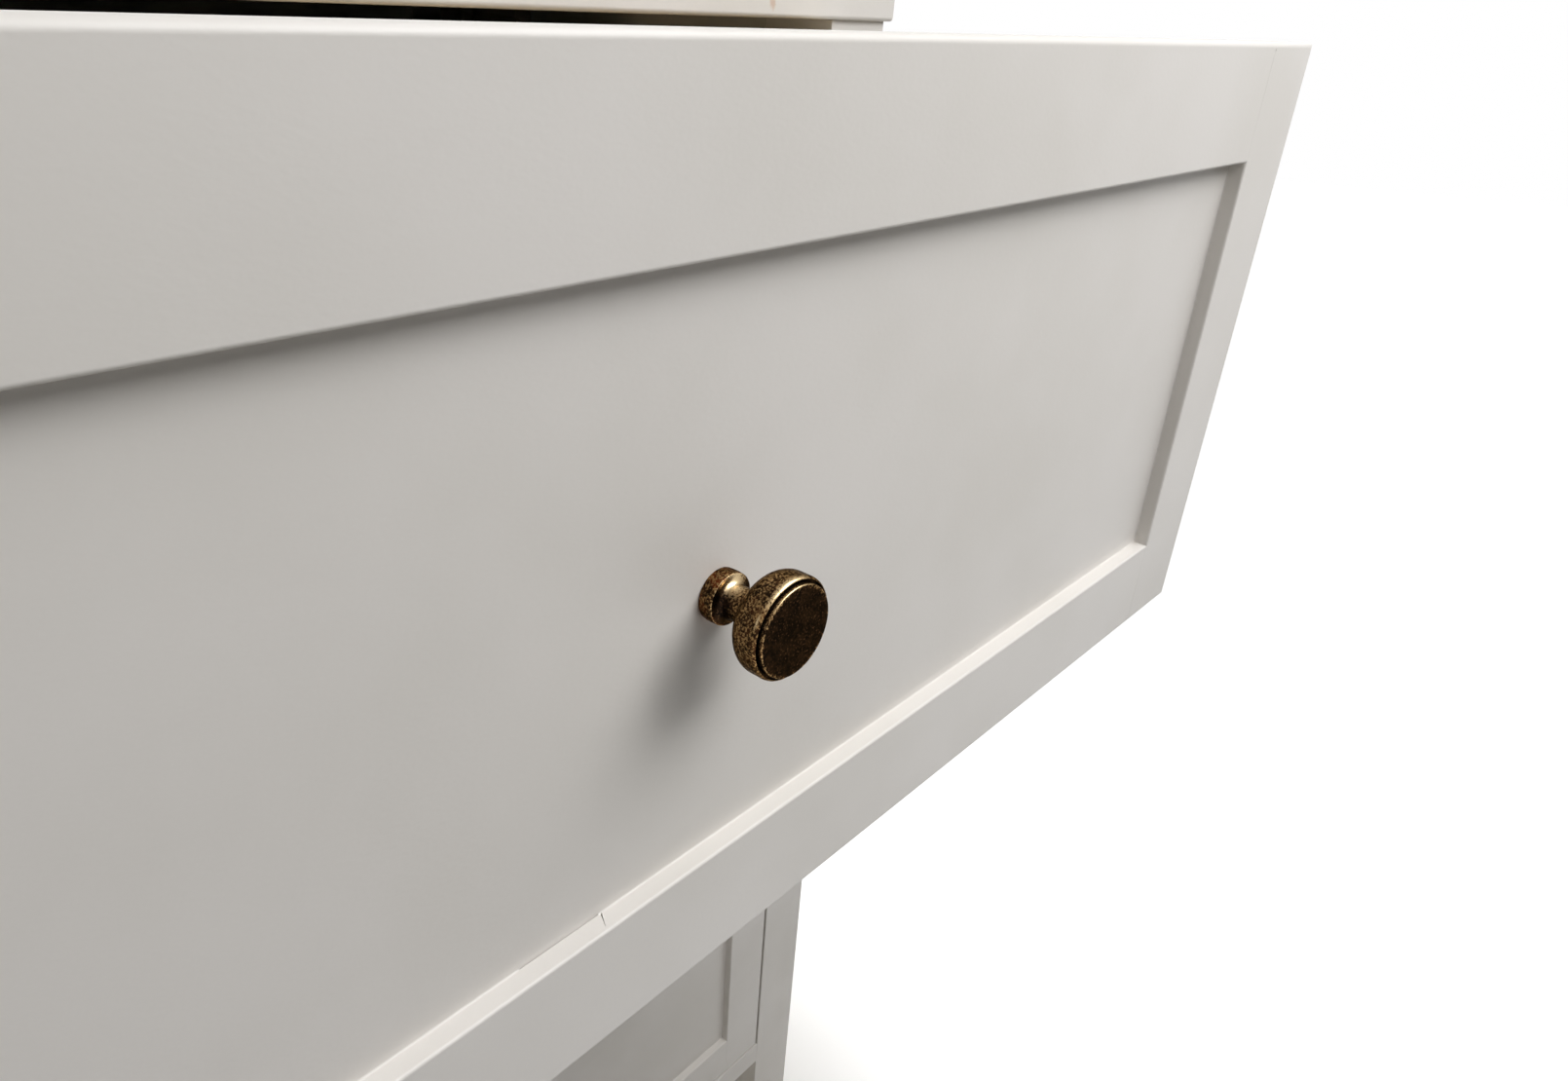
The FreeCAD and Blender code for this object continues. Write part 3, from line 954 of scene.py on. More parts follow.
@dataclass
class DrawerFront:
    """The framed front of a drawer: two stiles, two rails and a thin recessed panel."""

    level: Level
    outer_arris: float = 2.0 * MM
    outer_segments: int = 6
    inner_arris: float = 0.9 * MM
    inner_segments: int = 4
    joint_line: float = 0.24 * MM
    joint_segments: int = 2
    stile_easing: float = 0.3 * MM
    panel_easing: float = 0.4 * MM
    rail_shortest: float = 8.0 * MM
    groove_play: float = 0.1 * MM
    groove_stop: float = 12.0 * MM
    groove_spare: float = 0.5 * MM
    overrun: float = 3.0 * MM
    hole_reach: float = 0.7 * MM
    hole_drop: float = 1.5 * MM
    bead_radius: float = 0.55 * MM
    bead_steps: int = 5
    crack_start_x: float = -40.1 * MM
    crack_tip_x: float = -42.4 * MM
    crack_run: float = 4.6 * MM
    crack_width: float = 0.45 * MM
    crack_depth: float = 0.9 * MM
    crack_overrun: float = 0.4 * MM
    crack_tip_share: float = 0.25
    flake_width: float = 0.6 * MM
    flake_rise: float = 0.26 * MM
    flake_root: float = 0.3 * MM
    hairline_reach: tuple[float, float] = (-66.0 * MM, -41.2 * MM)
    hairline_half_width: float = 0.2 * MM
    hairline_half_depth: float = 0.6 * MM

    def __post_init__(self) -> None:
        """Reads the sizes of the front from the frame."""
        self.stile_low, self.stile_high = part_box(self.level.prefix + "right_stile")
        self.rail_low, self.rail_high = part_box(self.level.prefix + "upper_rail")
        self.panel_low, self.panel_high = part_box(self.level.prefix + "front_panel")
        width = self.stile_high.x - self.stile_low.x
        self.inner_x = self.stile_low.x
        self.face_y = self.stile_low.y
        self.opening_low = self.stile_low.z + width
        self.opening_high = self.stile_high.z - width

    def build(self) -> None:
        """Builds the five boards of the front."""
        self.stiles()
        self.rail(upper=True)
        self.rail(upper=False)
        self.panel()

    def stiles(self) -> None:
        """The right stile and its twin, with a hairline where the rails butt against them."""
        low, high, face = self.stile_low, self.stile_high, self.face_y
        stile = Workpiece.board(low, high, (self.opening_low, self.opening_high))
        near = stile.near
        stile.round(self.outer_arris, self.outer_segments,
                    lambda c: near(c.y, face) and not near(c.x, low.x)
                    and (near(c.x, high.x) or near(c.z, low.z) or near(c.z, high.z)))
        stile.round(self.inner_arris, self.inner_segments,
                    lambda c: near(c.y, face) and near(c.x, low.x)
                    and self.opening_low < c.z < self.opening_high)
        stile.round(self.joint_line, self.joint_segments,
                    lambda c: near(c.y, face) and near(c.x, low.x)
                    and not self.opening_low < c.z < self.opening_high)
        stile.ease(self.stile_easing)
        play, stop = self.groove_play, self.groove_stop
        stile.cut(Workpiece.board(
            (low.x - self.overrun, self.panel_low.y - play, low.z + stop),
            (self.panel_high.x + play, self.panel_high.y + play, high.z - stop)))
        if self.level is Level.TOP:
            stile.cut(self.open_joint())
        twin = stile.mirrored()
        stile.finish(self.level.prefix + "right_stile", "white_paint", ENAMEL, Axis.UP)
        twin.finish(self.level.prefix + "left_stile", "white_paint", ENAMEL, Axis.UP)

    def open_joint(self) -> Workpiece:
        """The small hole at the top of the upper joint that the filler didn't close.

        Returns:
            The shape to cut out.
        """
        place = Vector((self.inner_x, self.face_y, self.stile_high.z - self.outer_arris))
        reach, drop = self.hole_reach, self.hole_drop
        mouth = [(place.x + side * reach, place.y - reach, place.z - fall)
                 for fall in (0.0, drop) for side in (-1, 1)]
        return Workpiece.wedge([*mouth, (place.x + reach / 3, place.y + reach, place.z - drop / 2)])

    def rail(self, upper: bool) -> None:
        """The upper or the lower rail, with its tongues and its groove.

        Args:
            upper: Whether it is the upper rail.
        """
        z0 = self.opening_high if upper else self.stile_low.z
        z1 = self.stile_high.z if upper else self.opening_low
        outer_z, inner_z = (z1, z0) if upper else (z0, z1)
        face, end = self.face_y, self.inner_x
        rail = Workpiece.board((-end, face, z0), (end, self.stile_high.y, z1))
        near = rail.near
        rail.round(self.outer_arris, self.outer_segments,
                   lambda c: near(c.y, face) and near(c.z, outer_z))
        rail.round(self.inner_arris, self.inner_segments,
                   lambda c: near(c.y, face) and near(c.z, inner_z))
        rail.round(self.joint_line, self.joint_segments,
                   lambda c: near(c.y, face) and near(abs(c.x), end))
        rail.ease(self.joint_line, shortest=self.rail_shortest)
        play = self.groove_play
        stop = self.groove_stop + play
        rail.join(Workpiece.board(
            (self.rail_low.x, self.panel_low.y, z0 + (0 if upper else stop)),
            (self.rail_high.x, self.panel_high.y, z1 - (stop if upper else 0))))
        depth = self.panel_high.z - self.opening_high + self.groove_spare
        rail.cut(Workpiece.board(
            (self.rail_low.x - self.overrun, self.panel_low.y - play,
             z0 - self.overrun if upper else z1 - depth),
            (self.rail_high.x + self.overrun, self.panel_high.y + play,
             z0 + depth if upper else z1 + self.overrun)))
        if self.level is Level.TOP and not upper:
            rail.cut(self.crack()).cut(self.hairline()).join(self.lifted_flake())
        node = self.level.prefix + ("upper_rail" if upper else "lower_rail")
        rail.finish(node, "white_paint", ENAMEL)

    def crack_line(self) -> tuple[Vector, Vector]:
        """Where the crack starts, at the panel, and where it ends, near the front of the ledge."""
        return (Vector((self.crack_start_x, self.panel_low.y, self.opening_low)),
                Vector((self.crack_tip_x, self.panel_low.y - self.crack_run, self.opening_low)))

    def crack(self) -> Workpiece:
        """The short wedge-shaped crack across the ledge below the knob, to its left.

        Returns:
            The shape to cut out.
        """
        start, tip = self.crack_line()
        half, depth, lift = self.crack_width / 2, self.crack_depth, self.crack_overrun
        mouth = [(start.x + side * half, start.y, start.z + height)
                 for height in (lift, -depth) for side in (-1, 1)]
        return Workpiece.wedge([*mouth, (tip.x, tip.y, tip.z + lift),
                                (tip.x, tip.y, tip.z - depth * self.crack_tip_share)])

    def lifted_flake(self) -> Workpiece:
        """The paint that stands up along the right side of the crack and slopes down from it.

        Returns:
            The shape to join on.
        """
        start, tip = self.crack_line()
        left = start.x + self.crack_width / 2
        right = left + self.flake_width
        root = start.z - self.flake_root
        crest = start.z + self.flake_rise
        return Workpiece.wedge([(left, start.y, root), (right, start.y, root),
                                (left, start.y, crest), (right, start.y, start.z),
                                (tip.x, tip.y, tip.z), (tip.x, tip.y, root)])

    def hairline(self) -> Workpiece:
        """The thin gap between panel and ledge where the paint has come away.

        Returns:
            The shape to cut out.
        """
        start, end = self.hairline_reach
        width, depth = self.hairline_half_width, self.hairline_half_depth
        y, z = self.panel_low.y, self.opening_low
        return Workpiece.board((start, y - width, z - depth), (end, y + width, z + depth))

    def bead(self, start: Vector, end: Vector, inward: Vector,
             mitres: tuple[bool, bool]) -> Workpiece:
        """A run of the paint that lies hollow in the corner between panel and frame.

        Args:
            start: One end of the corner line.
            end: Its other end.
            inward: Direction from the frame towards the middle of the panel.
            mitres: Whether each end runs into the corner of the recess.

        Returns:
            The run.
        """
        mesh = bmesh.new()
        along = (end - start).normalized()
        rings = []
        for point, mitred, sign in ((start, mitres[0], 1), (end, mitres[1], -1)):
            ring = [mesh.verts.new(point)]
            for step in range(self.bead_steps + 1):
                angle = math.pi / 2 * step / self.bead_steps
                spread = self.bead_radius * (1 - math.sin(angle))
                rise = self.bead_radius * (1 - math.cos(angle))
                shift = along * (spread * sign if mitred else 0)
                ring.append(mesh.verts.new(point + inward * spread + Vector((0, -rise, 0)) + shift))
            rings.append(ring)
        count = len(rings[0])
        for index in range(count):
            after = (index + 1) % count
            mesh.faces.new((rings[0][index], rings[0][after], rings[1][after], rings[1][index]))
        for ring in rings:
            mesh.faces.new(ring)
        bmesh.ops.recalc_face_normals(mesh, faces=mesh.faces)
        return Workpiece(mesh)

    def panel(self) -> None:
        """The thin panel, and the paint that has run into the corners round it."""
        panel = Workpiece.board(self.panel_low, self.panel_high).ease(self.panel_easing)
        y, right = self.panel_low.y, self.inner_x
        corners = [Vector((-right, y, self.opening_low)), Vector((right, y, self.opening_low)),
                   Vector((right, y, self.opening_high)), Vector((-right, y, self.opening_high))]
        inward = [Vector((0, 0, 1)), Vector((-1, 0, 0)), Vector((0, 0, -1)), Vector((1, 0, 0))]
        for index, corner in enumerate(corners):
            after = corners[(index + 1) % len(corners)]
            broken = index == 0 and self.level is Level.TOP
            runs = self.broken_bead(corner, after) if broken else [(corner, after, (True, True))]
            for start, end, mitres in runs:
                panel.add(self.bead(start, end, inward[index], mitres))
        panel.finish(self.level.prefix + "front_panel", "white_paint", ENAMEL)

    def broken_bead(self, start: Vector,
                    end: Vector) -> list[tuple[Vector, Vector, tuple[bool, bool]]]:
        """The lower run of paint, which has come away for a few centimetres beside the crack.

        Args:
            start: One end of the corner line.
            end: Its other end.

        Returns:
            For each run, its ends and whether each one is mitred.
        """
        gap_start, gap_end = [Vector((place, start.y, start.z)) for place in self.hairline_reach]
        return [(start, gap_start, (True, False)), (gap_end, end, (False, True))]


@dataclass(frozen=True)
class WornSpot:
    """A ring on the knob where handling has abraded the patina all round, with a painted highlight
    on one side.
    """

    radius: float
    height: float
    reach: float
    all_round: float = 0.0
    in_grip: float = 0.0

    def at(self, radius: float, height: float, highlight_side: float) -> float:
        """How much the ring brightens a point of the section, by abrasion and painted highlight.

        Args:
            radius: The point's distance from the knob's axis.
            height: Its distance from the drawer.
            highlight_side: How near it lies to the side where the highlight is painted, from 0 to
                1.

        Returns:
            The brightening, from 0 to 1.
        """
        distance = math.hypot(radius - self.radius, height - self.height) / self.reach
        return (self.all_round + self.in_grip * highlight_side) * math.exp(-distance * distance)


@dataclass
class Knob:
    """A knob turned in one piece: foot, cove, round head, groove and raised flat face."""

    level: Level
    foot_radius: float = 7.1 * MM
    foot_height: float = 4.4 * MM
    foot_bulge: float = 0.12 * MM
    foot_land: float = 0.5 * MM
    foot_inner_share: float = 0.6
    cove_height: float = 1.8 * MM
    neck_radius: float = 4.5 * MM
    head_height: float = 19.4 * MM
    head_depth: float = 7.8 * MM
    face_radius: float = 11.9 * MM
    face_rise: float = 1.2 * MM
    groove_width: float = 0.8 * MM
    groove_depth: float = 0.9 * MM
    arris: float = 0.35 * MM
    shoulder_arris: float = 1.3 * MM
    slack: float = 0.1 * MM
    cove_inset: float = 0.2 * MM
    # The band of the cove, which darkens towards its underside as painted shade over dark patina
    # and brightens at its top as painted highlight.
    grime_height: float = 5.6 * MM
    grime_reach: float = 2.6 * MM
    grime_steepness: float = 4.5
    polish_steepness: float = 3.3
    # Where the painted highlight sits on the rim and the face's arris: a side turned a little left
    # of the top.
    grip_steepness: float = 4.5
    grip_degrees: float = 12.0
    # A short bright streak beside the rim, on the left.
    scratch_degrees: float = 61.0
    scratch_height: float = 1.0 * MM
    scratch_length: float = 1.5 * MM
    scratch_width: float = 0.28 * MM
    foot_copper: float = 0.7
    head_copper: float = 0.1
    coarse_ripple: float = 1.9 * MM
    fine_ripple: float = 0.8 * MM
    fine_share: float = 0.5
    hollow: float = 0.03 * MM
    ripple_depth: float = 0.02 * MM
    sides: int = 120

    def __post_init__(self) -> None:
        """Reads the knob's place and overall size from the frame and lays out its abraded edges and
        painted highlights.
        """
        self.node = self.level.prefix + "knob"
        low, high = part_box(self.node)
        self.head_radius = (high.x - low.x) / 2
        self.projection = high.y - low.y
        self.base = Vector(((low.x + high.x) / 2, high.y, (low.z + high.z) / 2))
        self.rim_radius = self.face_radius + self.groove_width
        self.rim_height = self.projection - self.face_rise
        # The foot's arris and the head's widest band are abraded all round; the rim gets only
        # painted highlight towards the upper left, and the face's arris some of both.
        self.worn_spots = (
            WornSpot(self.foot_radius, self.foot_height, reach=0.35 * MM, all_round=0.30),
            WornSpot(self.rim_radius + 0.3 * MM, self.rim_height - 0.4 * MM, reach=0.9 * MM,
                     in_grip=0.85),
            WornSpot(self.face_radius, self.projection, reach=0.4 * MM, all_round=0.14,
                     in_grip=0.60),
            WornSpot(self.head_radius, self.head_height, reach=2.6 * MM, all_round=0.06),
        )

    def arc(self, centre: tuple[float, float], reach: tuple[float, float], start: float, end: float,
            steps: int) -> list[tuple[float, float]]:
        """Points on an arc of an ellipse.

        Args:
            centre: Radius and height of its middle.
            reach: Its half axes, across and along the knob.
            start: First angle, in quarter turns from the outward direction.
            end: Last angle.
            steps: Number of stretches.

        Returns:
            Radius and height of each point.
        """
        angles = [math.pi / 2 * (start + (end - start) * step / steps) for step in range(steps + 1)]
        return [(centre[0] + reach[0] * math.cos(angle), centre[1] + reach[1] * math.sin(angle))
                for angle in angles]

    def flank(self, radius: float, start: float, end: float, steps: int,
              bulge: float = 0.0) -> list[tuple[float, float]]:
        """Points between the ends of an upright stretch, without the ends themselves.

        Args:
            radius: Its distance from the axis.
            start: Its first height.
            end: Its last height.
            steps: Number of stretches.
            bulge: How far its middle swells.

        Returns:
            Radius and height of each point.
        """
        return [(radius + bulge * math.sin(math.pi * step / steps),
                 start + (end - start) * step / steps) for step in range(1, steps)]

    def outline(self) -> list[tuple[float, float]]:
        """The knob's half section, from the middle of its foot to the middle of its face.

        Returns:
            Radius and height of each point.
        """
        soft, shoulder, neck_r = self.arris, self.shoulder_arris, self.neck_radius
        turn = math.acos(neck_r / self.head_radius)
        neck_h = self.head_height - self.head_depth * math.sin(turn)
        flank_r = self.foot_radius - self.foot_bulge
        land_r = self.foot_radius - self.foot_land
        cove_h = self.foot_height + self.cove_height
        foot_h = self.foot_height - soft
        shoulder_h = self.rim_height - shoulder
        groove_h = self.rim_height - self.groove_depth
        face_r = self.face_radius - soft
        face_steps = 14
        return [
            (0.0, 0.0), (self.foot_radius * self.foot_inner_share, 0.0),
            *self.arc((flank_r - soft, soft), (soft, soft), start=-1, end=0, steps=4),
            *self.flank(flank_r, soft, foot_h, steps=8, bulge=self.foot_bulge),
            *self.arc((flank_r - soft, foot_h), (soft, soft), start=0, end=1, steps=6),
            *self.arc((land_r, cove_h), (neck_r - land_r, -self.cove_height), start=1, end=0,
                      steps=14),
            *self.flank(neck_r, cove_h, neck_h, steps=8),
            *self.arc((0.0, self.head_height), (self.head_radius, -self.head_depth),
                      start=turn / (math.pi / 2), end=0, steps=36)[1:],
            *self.flank(self.head_radius, self.head_height, shoulder_h, steps=12),
            *self.arc((self.rim_radius, shoulder_h), (self.head_radius - self.rim_radius, shoulder),
                      start=0, end=1, steps=18),
            (self.rim_radius, groove_h), (self.face_radius, groove_h),
            *self.arc((face_r, self.projection - soft), (soft, soft), start=0, end=1, steps=5),
            *[(face_r * (1 - step / face_steps), self.projection)
              for step in range(1, face_steps + 1)],
        ]

    def scratched(self, spot: Vector) -> float:
        """How much a point lies on the short bright streak beside the rim, on the left, drawn like
        the bright bare metal.

        Args:
            spot: The point, from the middle of the knob's foot.

        Returns:
            How bright it is there, from 0 to 1.
        """
        turn = math.radians(self.scratch_degrees)
        around = (math.atan2(-spot.x, spot.z) - turn) * self.head_radius / self.scratch_length
        across = (-spot.y - self.rim_height + self.scratch_height) / self.scratch_width
        return math.exp(-around * around - across * across)

    def is_sheltered(self, spot: Vector) -> bool:
        """Whether a point lies on the flat face or in the groove round it, where no finger rubs.

        Args:
            spot: The point, from the middle of the knob's foot.

        Returns:
            Whether it does.
        """
        height, radius = -spot.y, math.hypot(spot.x, spot.z)
        on_face = height > self.projection - self.slack and radius < self.face_radius - self.arris
        in_groove = (self.head_height < height < self.rim_height - self.slack
                     and abs(radius - self.face_radius) < self.groove_width + self.slack)
        return on_face or in_groove

    def patina(self, spot: Vector) -> tuple[float, float, float]:
        """How the marks differ at a point: the cove darkens towards its underside as painted shade
        and brightens at its top as painted highlight, and the rim and the face's arris take painted
        highlight a little left of the top.

        Args:
            spot: The point, from the middle of the knob's foot.

        Returns:
            The values of the marks, in their order.
        """
        height, radius = -spot.y, math.hypot(spot.x, spot.z)
        in_cove = (height > self.foot_height - self.slack
                   and radius < self.foot_radius - self.cove_inset)
        # The cove's band: it darkens towards the underside as painted shade over dark patina, and
        # brightens at the top as painted highlight.
        cove_band = in_cove * math.exp(-((height - self.grime_height) / self.grime_reach) ** 2)
        lowness = 0.5 - 0.5 * spot.z / max(radius, self.arris)
        # The top of the cove brightens as painted highlight.
        cove_highlight = cove_band * max(0.0, 1 - self.polish_steepness * lowness)
        # The painted highlight on the rim and the face's arris lies a little left of the top.
        aside = math.atan2(-spot.x, spot.z) - math.radians(self.grip_degrees)
        highlight_side = max(0.0, 1 - self.grip_steepness * (1 - math.cos(aside)))
        rubbed = max(worn_and_highlit.at(radius, height, highlight_side) for worn_and_highlit in self.worn_spots)
        # Dark patina all over the face and groove; in the cove, darker towards the underside as
        # painted shade.
        patina_and_shade = 1.0 if self.is_sheltered(spot) else cove_band * min(1.0, self.grime_steepness * lowness)
        copper = self.foot_copper if height < self.foot_height else self.head_copper
        return max(rubbed, cove_highlight, self.scratched(spot)), patina_and_shade, copper

    def dent(self, spot: Vector) -> Vector:
        """The shallow dent that tumbling has left at a point.

        Args:
            spot: The point, from the middle of the knob's foot.

        Returns:
            How far the metal stood out there before.
        """
        coarse, fine = noise.noise(spot / self.coarse_ripple), noise.noise(spot / self.fine_ripple)
        depth = self.hollow + self.ripple_depth * (coarse + self.fine_share * fine)
        return Vector((spot.x, 0, spot.z)).normalized() * depth

    def build(self) -> None:
        """Turns the knob, marks where its patina, abrasion, painted shade and painted highlights
        differ, and roughens it a little.
        """
        knob = Workpiece.turned(self.outline(), self.sides, self.base, Vector((0, -1, 0)))
        layers = [knob.mesh.verts.layers.float.new(mark) for mark in PATINA_AND_LIGHT_MARKS]
        for vert in knob.mesh.verts:
            spot = vert.co - self.base
            for layer, value in zip(layers, self.patina(spot)):
                vert[layer] = value
            if self.slack < -spot.y < self.projection - self.slack and not self.is_sheltered(spot):
                vert.co -= self.dent(spot)
        knob.finish(self.node, "aged_brass", BRASS)


@dataclass
class Screws:
    """The screws of a drawer: one long pan head for the knob and four countersunk ones."""

    level: Level
    cross_reach: float = 1.9 * MM
    cross_width: float = 0.75 * MM
    cross_depth: float = 1.3 * MM
    cross_taper: float = 0.45
    cross_overrun: float = 0.4 * MM
    shank_radius: float = 2.0 * MM
    pan_height: float = 2.4 * MM
    pan_dome_steps: int = 6
    pan_tip_share: float = 0.7
    pan_tip_length: float = 0.8 * MM
    sunk_radius: float = 3.8 * MM
    sunk_height: float = 2.2 * MM
    sunk_rim: tuple[float, float] = (0.1 * MM, 0.12 * MM)
    sunk_chamfer: float = 0.25 * MM
    sunk_tip_share: float = 0.6
    sunk_tip_bevel: float = 0.6 * MM
    sunk_tip_length: float = 2.4 * MM
    sides: int = 48

    def crossed(self, screw: Workpiece, head: Vector) -> Workpiece:
        """Presses a cross into a screw's head.

        Args:
            screw: The screw.
            head: Middle of the head's outer face, which looks along +Y.

        Returns:
            The screw with its cross.
        """
        half = self.cross_width / 2
        levels = ((self.cross_reach, self.cross_overrun),
                  (self.cross_reach * self.cross_taper, -self.cross_depth))
        for turned in (False, True):
            points = []
            for a in (-1, 1):
                for b in (-1, 1):
                    for long, rise in levels:
                        u, v = (a * long, b * half) if turned else (a * half, b * long)
                        points.append((head.x + u, head.y + rise, head.z + v))
            screw.cut(Workpiece.wedge(points))
        return screw

    def build(self) -> None:
        """Makes the screws of the drawer."""
        self.pan_head(self.level.prefix + "knob_screw")
        self.countersunk(self.level.prefix + "front_screws")

    def pan_head(self, node: str) -> None:
        """The long screw through the front into the knob.

        Args:
            node: Name of the node.
        """
        low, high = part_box(node)
        shank, radius, length = self.shank_radius, (high.x - low.x) / 2, high.y - low.y
        base = Vector(((low.x + high.x) / 2, low.y, (low.z + high.z) / 2))
        dome = self.pan_height / 2
        outline = [(0.0, 0.0), (shank * self.pan_tip_share, 0.0), (shank, self.pan_tip_length),
                   (shank, length - self.pan_height), (radius, length - self.pan_height),
                   (radius, length - dome)]
        for step in range(1, self.pan_dome_steps + 1):
            angle = math.pi / 2 * step / self.pan_dome_steps
            outline.append((radius - dome * (1 - math.cos(angle)),
                            length - dome + dome * math.sin(angle)))
        outline.append((0.0, length))
        screw = Workpiece.turned(outline, self.sides, base, Vector((0, 1, 0)))
        self.crossed(screw, Vector((base.x, high.y, base.z))).finish(node, "zinc_steel", ZINC)

    def countersunk(self, node: str) -> None:
        """The four screws that hold the front to the box, flush with the inner front.

        Args:
            node: Name of the node.
        """
        low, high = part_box(node)
        shank, radius, length = self.shank_radius, self.sunk_radius, high.y - low.y
        rim_inset, rim_drop = self.sunk_rim
        outline = [(0.0, 0.0), (shank * self.sunk_tip_share, self.sunk_tip_bevel),
                   (shank, self.sunk_tip_length), (shank, length - self.sunk_height),
                   (radius - rim_inset, length - rim_drop), (radius - self.sunk_chamfer, length),
                   (0.0, length)]
        screws = None
        for x in (low.x + radius, high.x - radius):
            for z in (low.z + radius, high.z - radius):
                base = Vector((x, low.y, z))
                screw = Workpiece.turned(outline, self.sides, base, Vector((0, 1, 0)))
                self.crossed(screw, Vector((x, high.y, z)))
                screws = screws.add(screw) if screws else screw
        screws.finish(node, "zinc_steel", ZINC)


@dataclass
class DrawerBox:
    """The dovetailed wooden box behind a front."""

    level: Level
    easing: float = 0.35 * MM

    def build(self) -> None:
        """Eases and lacquers the four boards and lays in the bottom."""
        for name, along in (("right_side", Axis.DEEP), ("left_side", Axis.DEEP),
                            ("inner_front", Axis.ACROSS), ("back", Axis.ACROSS)):
            self.board(name, "drawer_wood", BOX_WOOD, along)
        self.board("bottom", "plywood", PLYWOOD, Axis.ACROSS)

    def board(self, name: str, slot: str, finish: Finish, along: Axis) -> None:
        """One board of the box, with its edges eased by hand."""
        node = self.level.prefix + name
        Workpiece.copied(node).ease(self.easing).finish(node, slot, finish, along)


@dataclass
class Drawer:
    """A whole drawer."""

    level: Level

    def build(self) -> None:
        """Builds front, knob, screws and box."""
        for part in (DrawerFront, Knob, Screws, DrawerBox):
            part(self.level).build()


@dataclass
class Carcass:
    """The standing part of the chest."""

    easing: float = 0.5 * MM
    leg_shortest: float = 20.0 * MM
    long_cleat_shift: float = 60.0 * MM

    def build(self) -> None:
        """Builds the top, the legs, the rails, the panels, the runners and the feet."""
        self.painted("top_panel", Axis.ACROSS, finish=MARKED_ENAMEL)
        for side in Side:
            self.painted(f"front_{side.word}_leg", Axis.UP, self.leg_shortest)
            self.painted(f"rear_{side.word}_leg", Axis.UP, self.leg_shortest)
            self.painted(f"{side.word}_side_panel", Axis.UP)
            self.cleats(f"{side.word}_top_cleats")
            for level in Level:
                self.bare(f"{level.value}_{side.word}_runner", "frame_wood", FRAME_WOOD, Axis.DEEP)
        for rail in ("bottom_face_rail", "lower_divider_rail", "upper_divider_rail"):
            self.painted(rail, Axis.ACROSS)
        self.bare("back_panel", "plywood", PRIMER, Axis.UP)
        self.bare("bottom_panel", "plywood", PLYWOOD, Axis.ACROSS)
        Workpiece.copied("foot_glides").finish("foot_glides", "glide_plastic", PLASTIC)

    def painted(self, node: str, along: Axis, shortest: float = Workpiece.short_edge,
                finish: Finish = ENAMEL) -> None:
        """One painted board, with a soft arris where the frame has a sharp one."""
        piece = Workpiece.copied(node).ease(self.easing, shortest)
        piece.finish(node, "white_paint", finish, along)

    def bare(self, node: str, slot: str, finish: Finish, along: Axis) -> bpy.types.Object:
        """One board without the outside's enamel."""
        return Workpiece.copied(node).ease(self.easing).finish(node, slot, finish, along)

    def cleats(self, node: str) -> None:
        """The cleats under one end of the top: bare blocks behind, and a primed long one in front.

        Args:
            node: Name of the node.
        """
        piece = self.bare(node, "frame_wood", FRAME_WOOD, Axis.DEEP)
        piece.data.materials.append(PRIMER.material(Axis.DEEP))
        low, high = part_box(node)
        for face in piece.data.polygons:
            face.material_index = int(face.center.y < (low.y + high.y) / 2 + self.long_cleat_shift)


@dataclass
class PhotoCamera:
    """The camera, close to the open drawer and looking down to the right across its front."""

    place: Vector = Vector((-0.16013, -0.45461, 0.94614))
    right: Vector = Vector((0.694594, -0.718829, 0.028718))
    down: Vector = Vector((-0.333053, -0.356696, -0.872836))
    ahead: Vector = Vector((0.637664, 0.596702, -0.487166))
    focal_length_px: float = 1053.24
    axis_x_px: float = 735.1
    axis_y_px: float = 606.1
    sensor_mm: float = 36.0
    nearest: float = 5.0 * MM

    def build(self) -> None:
        """Makes the camera and gives it to the scene."""
        data = bpy.data.cameras.new("photo_camera")
        data.sensor_width = self.sensor_mm
        data.lens = self.focal_length_px / PHOTO_WIDTH_PX * self.sensor_mm
        data.shift_x = (PHOTO_WIDTH_PX / 2 - self.axis_x_px) / PHOTO_WIDTH_PX
        data.shift_y = (self.axis_y_px - PHOTO_HEIGHT_PX / 2) / PHOTO_WIDTH_PX
        data.clip_start = self.nearest
        camera = scene_object("photo_camera", data)
        turn = Matrix((self.right, -self.down, -self.ahead)).transposed().to_4x4()
        camera.matrix_world = Matrix.Translation(self.place) @ turn
        bpy.context.scene.camera = camera


@dataclass(frozen=True)
class SoftBox:
    """A lamp behind a square or oblong diffuser, with or without a grid that narrows its beam.

    A lamp that isn't in_gloss lights the object and leaves no glare on its satin paint.
    """

    name: str
    place: tuple[float, float, float]
    target: tuple[float, float, float]
    size: float
    watts: float
    beam_degrees: float = 180.0
    depth_share: float = 1.0
    in_gloss: bool = True

    def hang(self) -> None:
        """Hangs the lamp and points it, out of the camera's sight."""
        data = bpy.data.lights.new(self.name, "AREA")
        data.shape = "RECTANGLE"
        data.size = self.size
        data.size_y = self.size * self.depth_share
        data.energy = self.watts
        data.spread = math.radians(self.beam_degrees)
        lamp = scene_object(self.name, data)
        lamp.location = self.place
        lamp.rotation_mode = "QUATERNION"
        aim = Vector(self.target) - Vector(self.place)
        lamp.rotation_quaternion = aim.to_track_quat("-Z", "Y")
        lamp.visible_camera = False
        lamp.visible_glossy = self.in_gloss


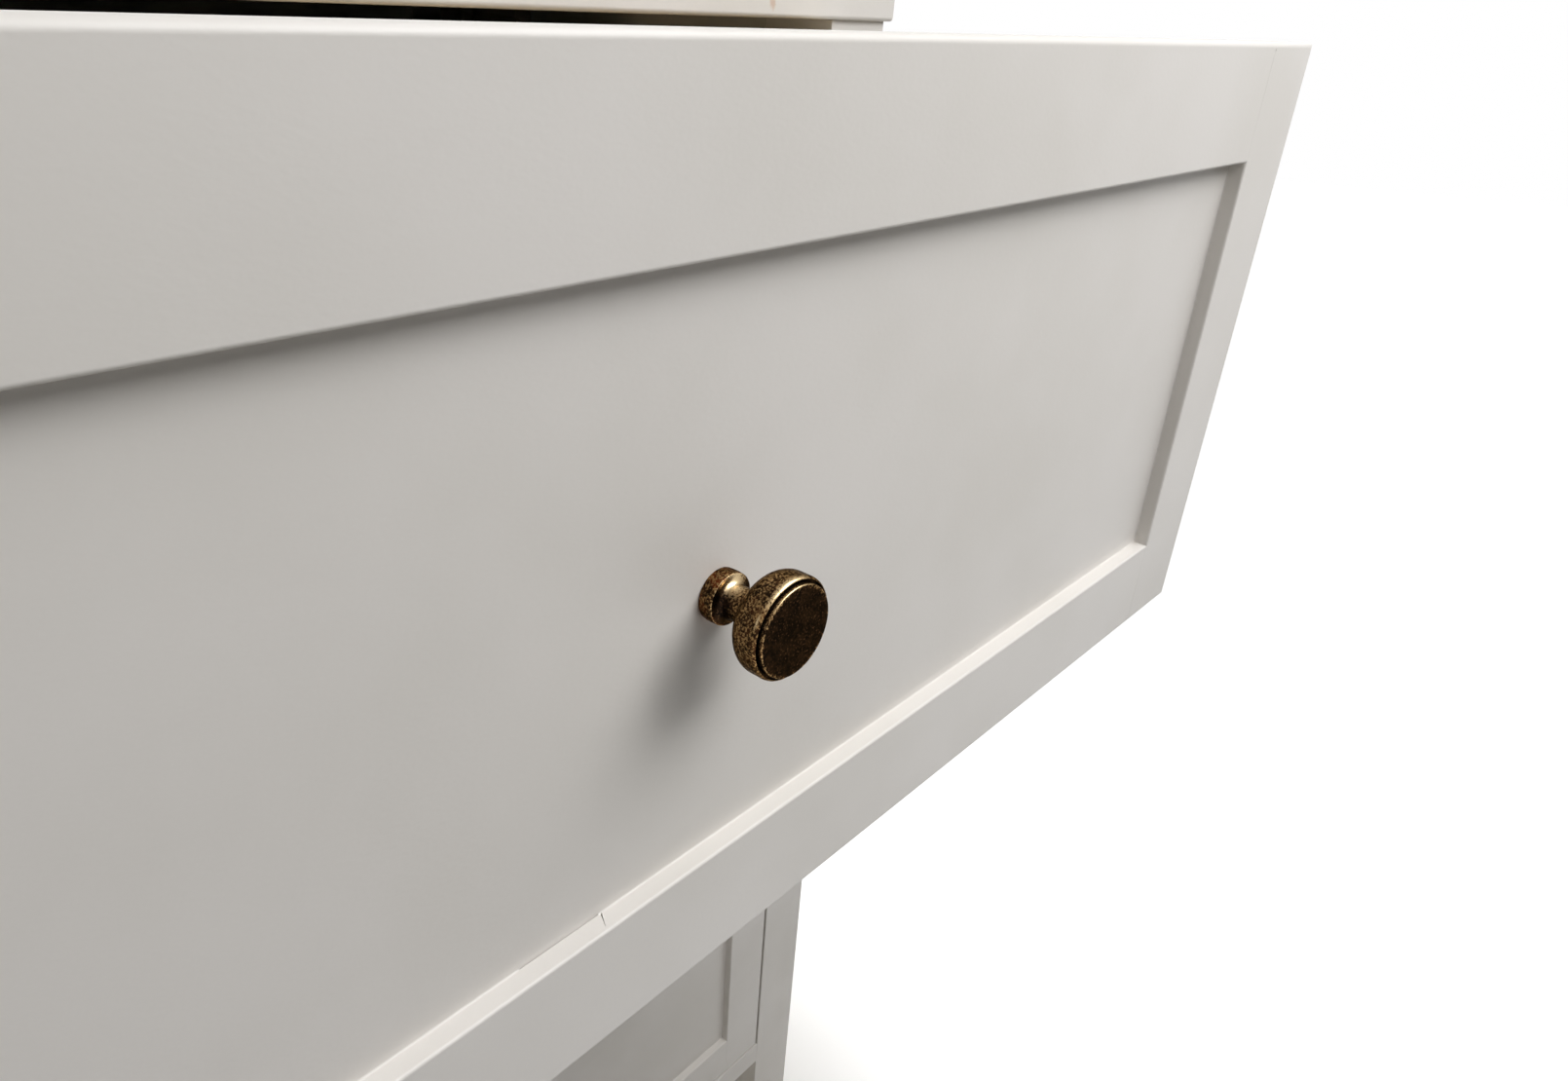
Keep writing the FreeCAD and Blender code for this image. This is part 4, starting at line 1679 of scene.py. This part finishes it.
KNOB_SIDE = (0.0, -0.28, 0.82)
BACK_MIDDLE = (0.0, 0.20, 0.50)
DRAWER_FLOOR = (0.04, -0.185, 0.72)
SOFT_BOXES = (
    SoftBox("high_key", (0.50, -0.78, 1.78), KNOB_SIDE, size=1.0, watts=7.7),
    SoftBox("near_fill", (0.10, -0.85, 1.45), KNOB_SIDE, size=0.5, watts=2.2),
    SoftBox("knob_key", (0.35, -0.85, 1.45), KNOB_SIDE, size=0.4, watts=1.9),
    SoftBox("side_fill", (0.60, -0.60, 1.60), KNOB_SIDE, size=0.4, watts=1.6),
    SoftBox("drawer_fill", (0.04, -0.21, 1.60), DRAWER_FLOOR, size=0.56, watts=0.22,
            beam_degrees=16.0, depth_share=0.18, in_gloss=False),
    SoftBox("back_left", (-1.50, 1.90, 1.05), BACK_MIDDLE, size=1.0, watts=5.6, beam_degrees=70.0,
            in_gloss=False),
    SoftBox("back_right", (1.70, 1.60, 1.05), BACK_MIDDLE, size=1.0, watts=5.2, beam_degrees=70.0,
            in_gloss=False),
)


@dataclass
class Studio:
    """A pale floor and a white surround, lit by soft boxes in front on the right and behind."""

    floor_radius: float = 9.0
    floor_sides: int = 96
    floor_drop: float = 0.1 * MM
    surround: str = "#FFFFFF"
    surround_strength: float = 0.005

    def build(self) -> None:
        """Makes the floor, the lamps and the world."""
        scene = bpy.context.scene
        scene.view_settings.view_transform = "Standard"
        mesh = bmesh.new()
        bmesh.ops.create_circle(mesh, cap_ends=True, segments=self.floor_sides,
                                radius=self.floor_radius)
        floor = scene_object("studio_floor", mesh_data("studio_floor", mesh))
        floor.location.z = -self.floor_drop
        floor.data.materials.append(StudioPaper().material())
        for box in SOFT_BOXES:
            box.hang()
        self.light_all_round(scene)

    def light_all_round(self, scene: bpy.types.Scene) -> None:
        """Lights the object faintly from all round, with white for the camera and in reflections.

        Args:
            scene: Scene that gets the world.
        """
        world = bpy.data.worlds.new("surround")
        scene.world = world
        world.use_nodes = True
        world.node_tree.nodes.clear()
        add = partial(add_node, world.node_tree)
        strength = add("MapRange", {"Value": seen_directly(add), "To Min": self.surround_strength,
                                    "To Max": 1.0})
        glow = add("Background", {"Color": linear(self.surround), "Strength": strength})
        add("OutputWorld", {"Surface": glow})


def main() -> None:
    """Builds the studio, the carcass and the drawers, in that order."""
    logging.basicConfig(level=logging.INFO, format="%(message)s")
    PhotoCamera().build()
    Studio().build()
    Carcass().build()
    for level in Level:
        Drawer(level).build()


if __name__ == "__main__":
    main()
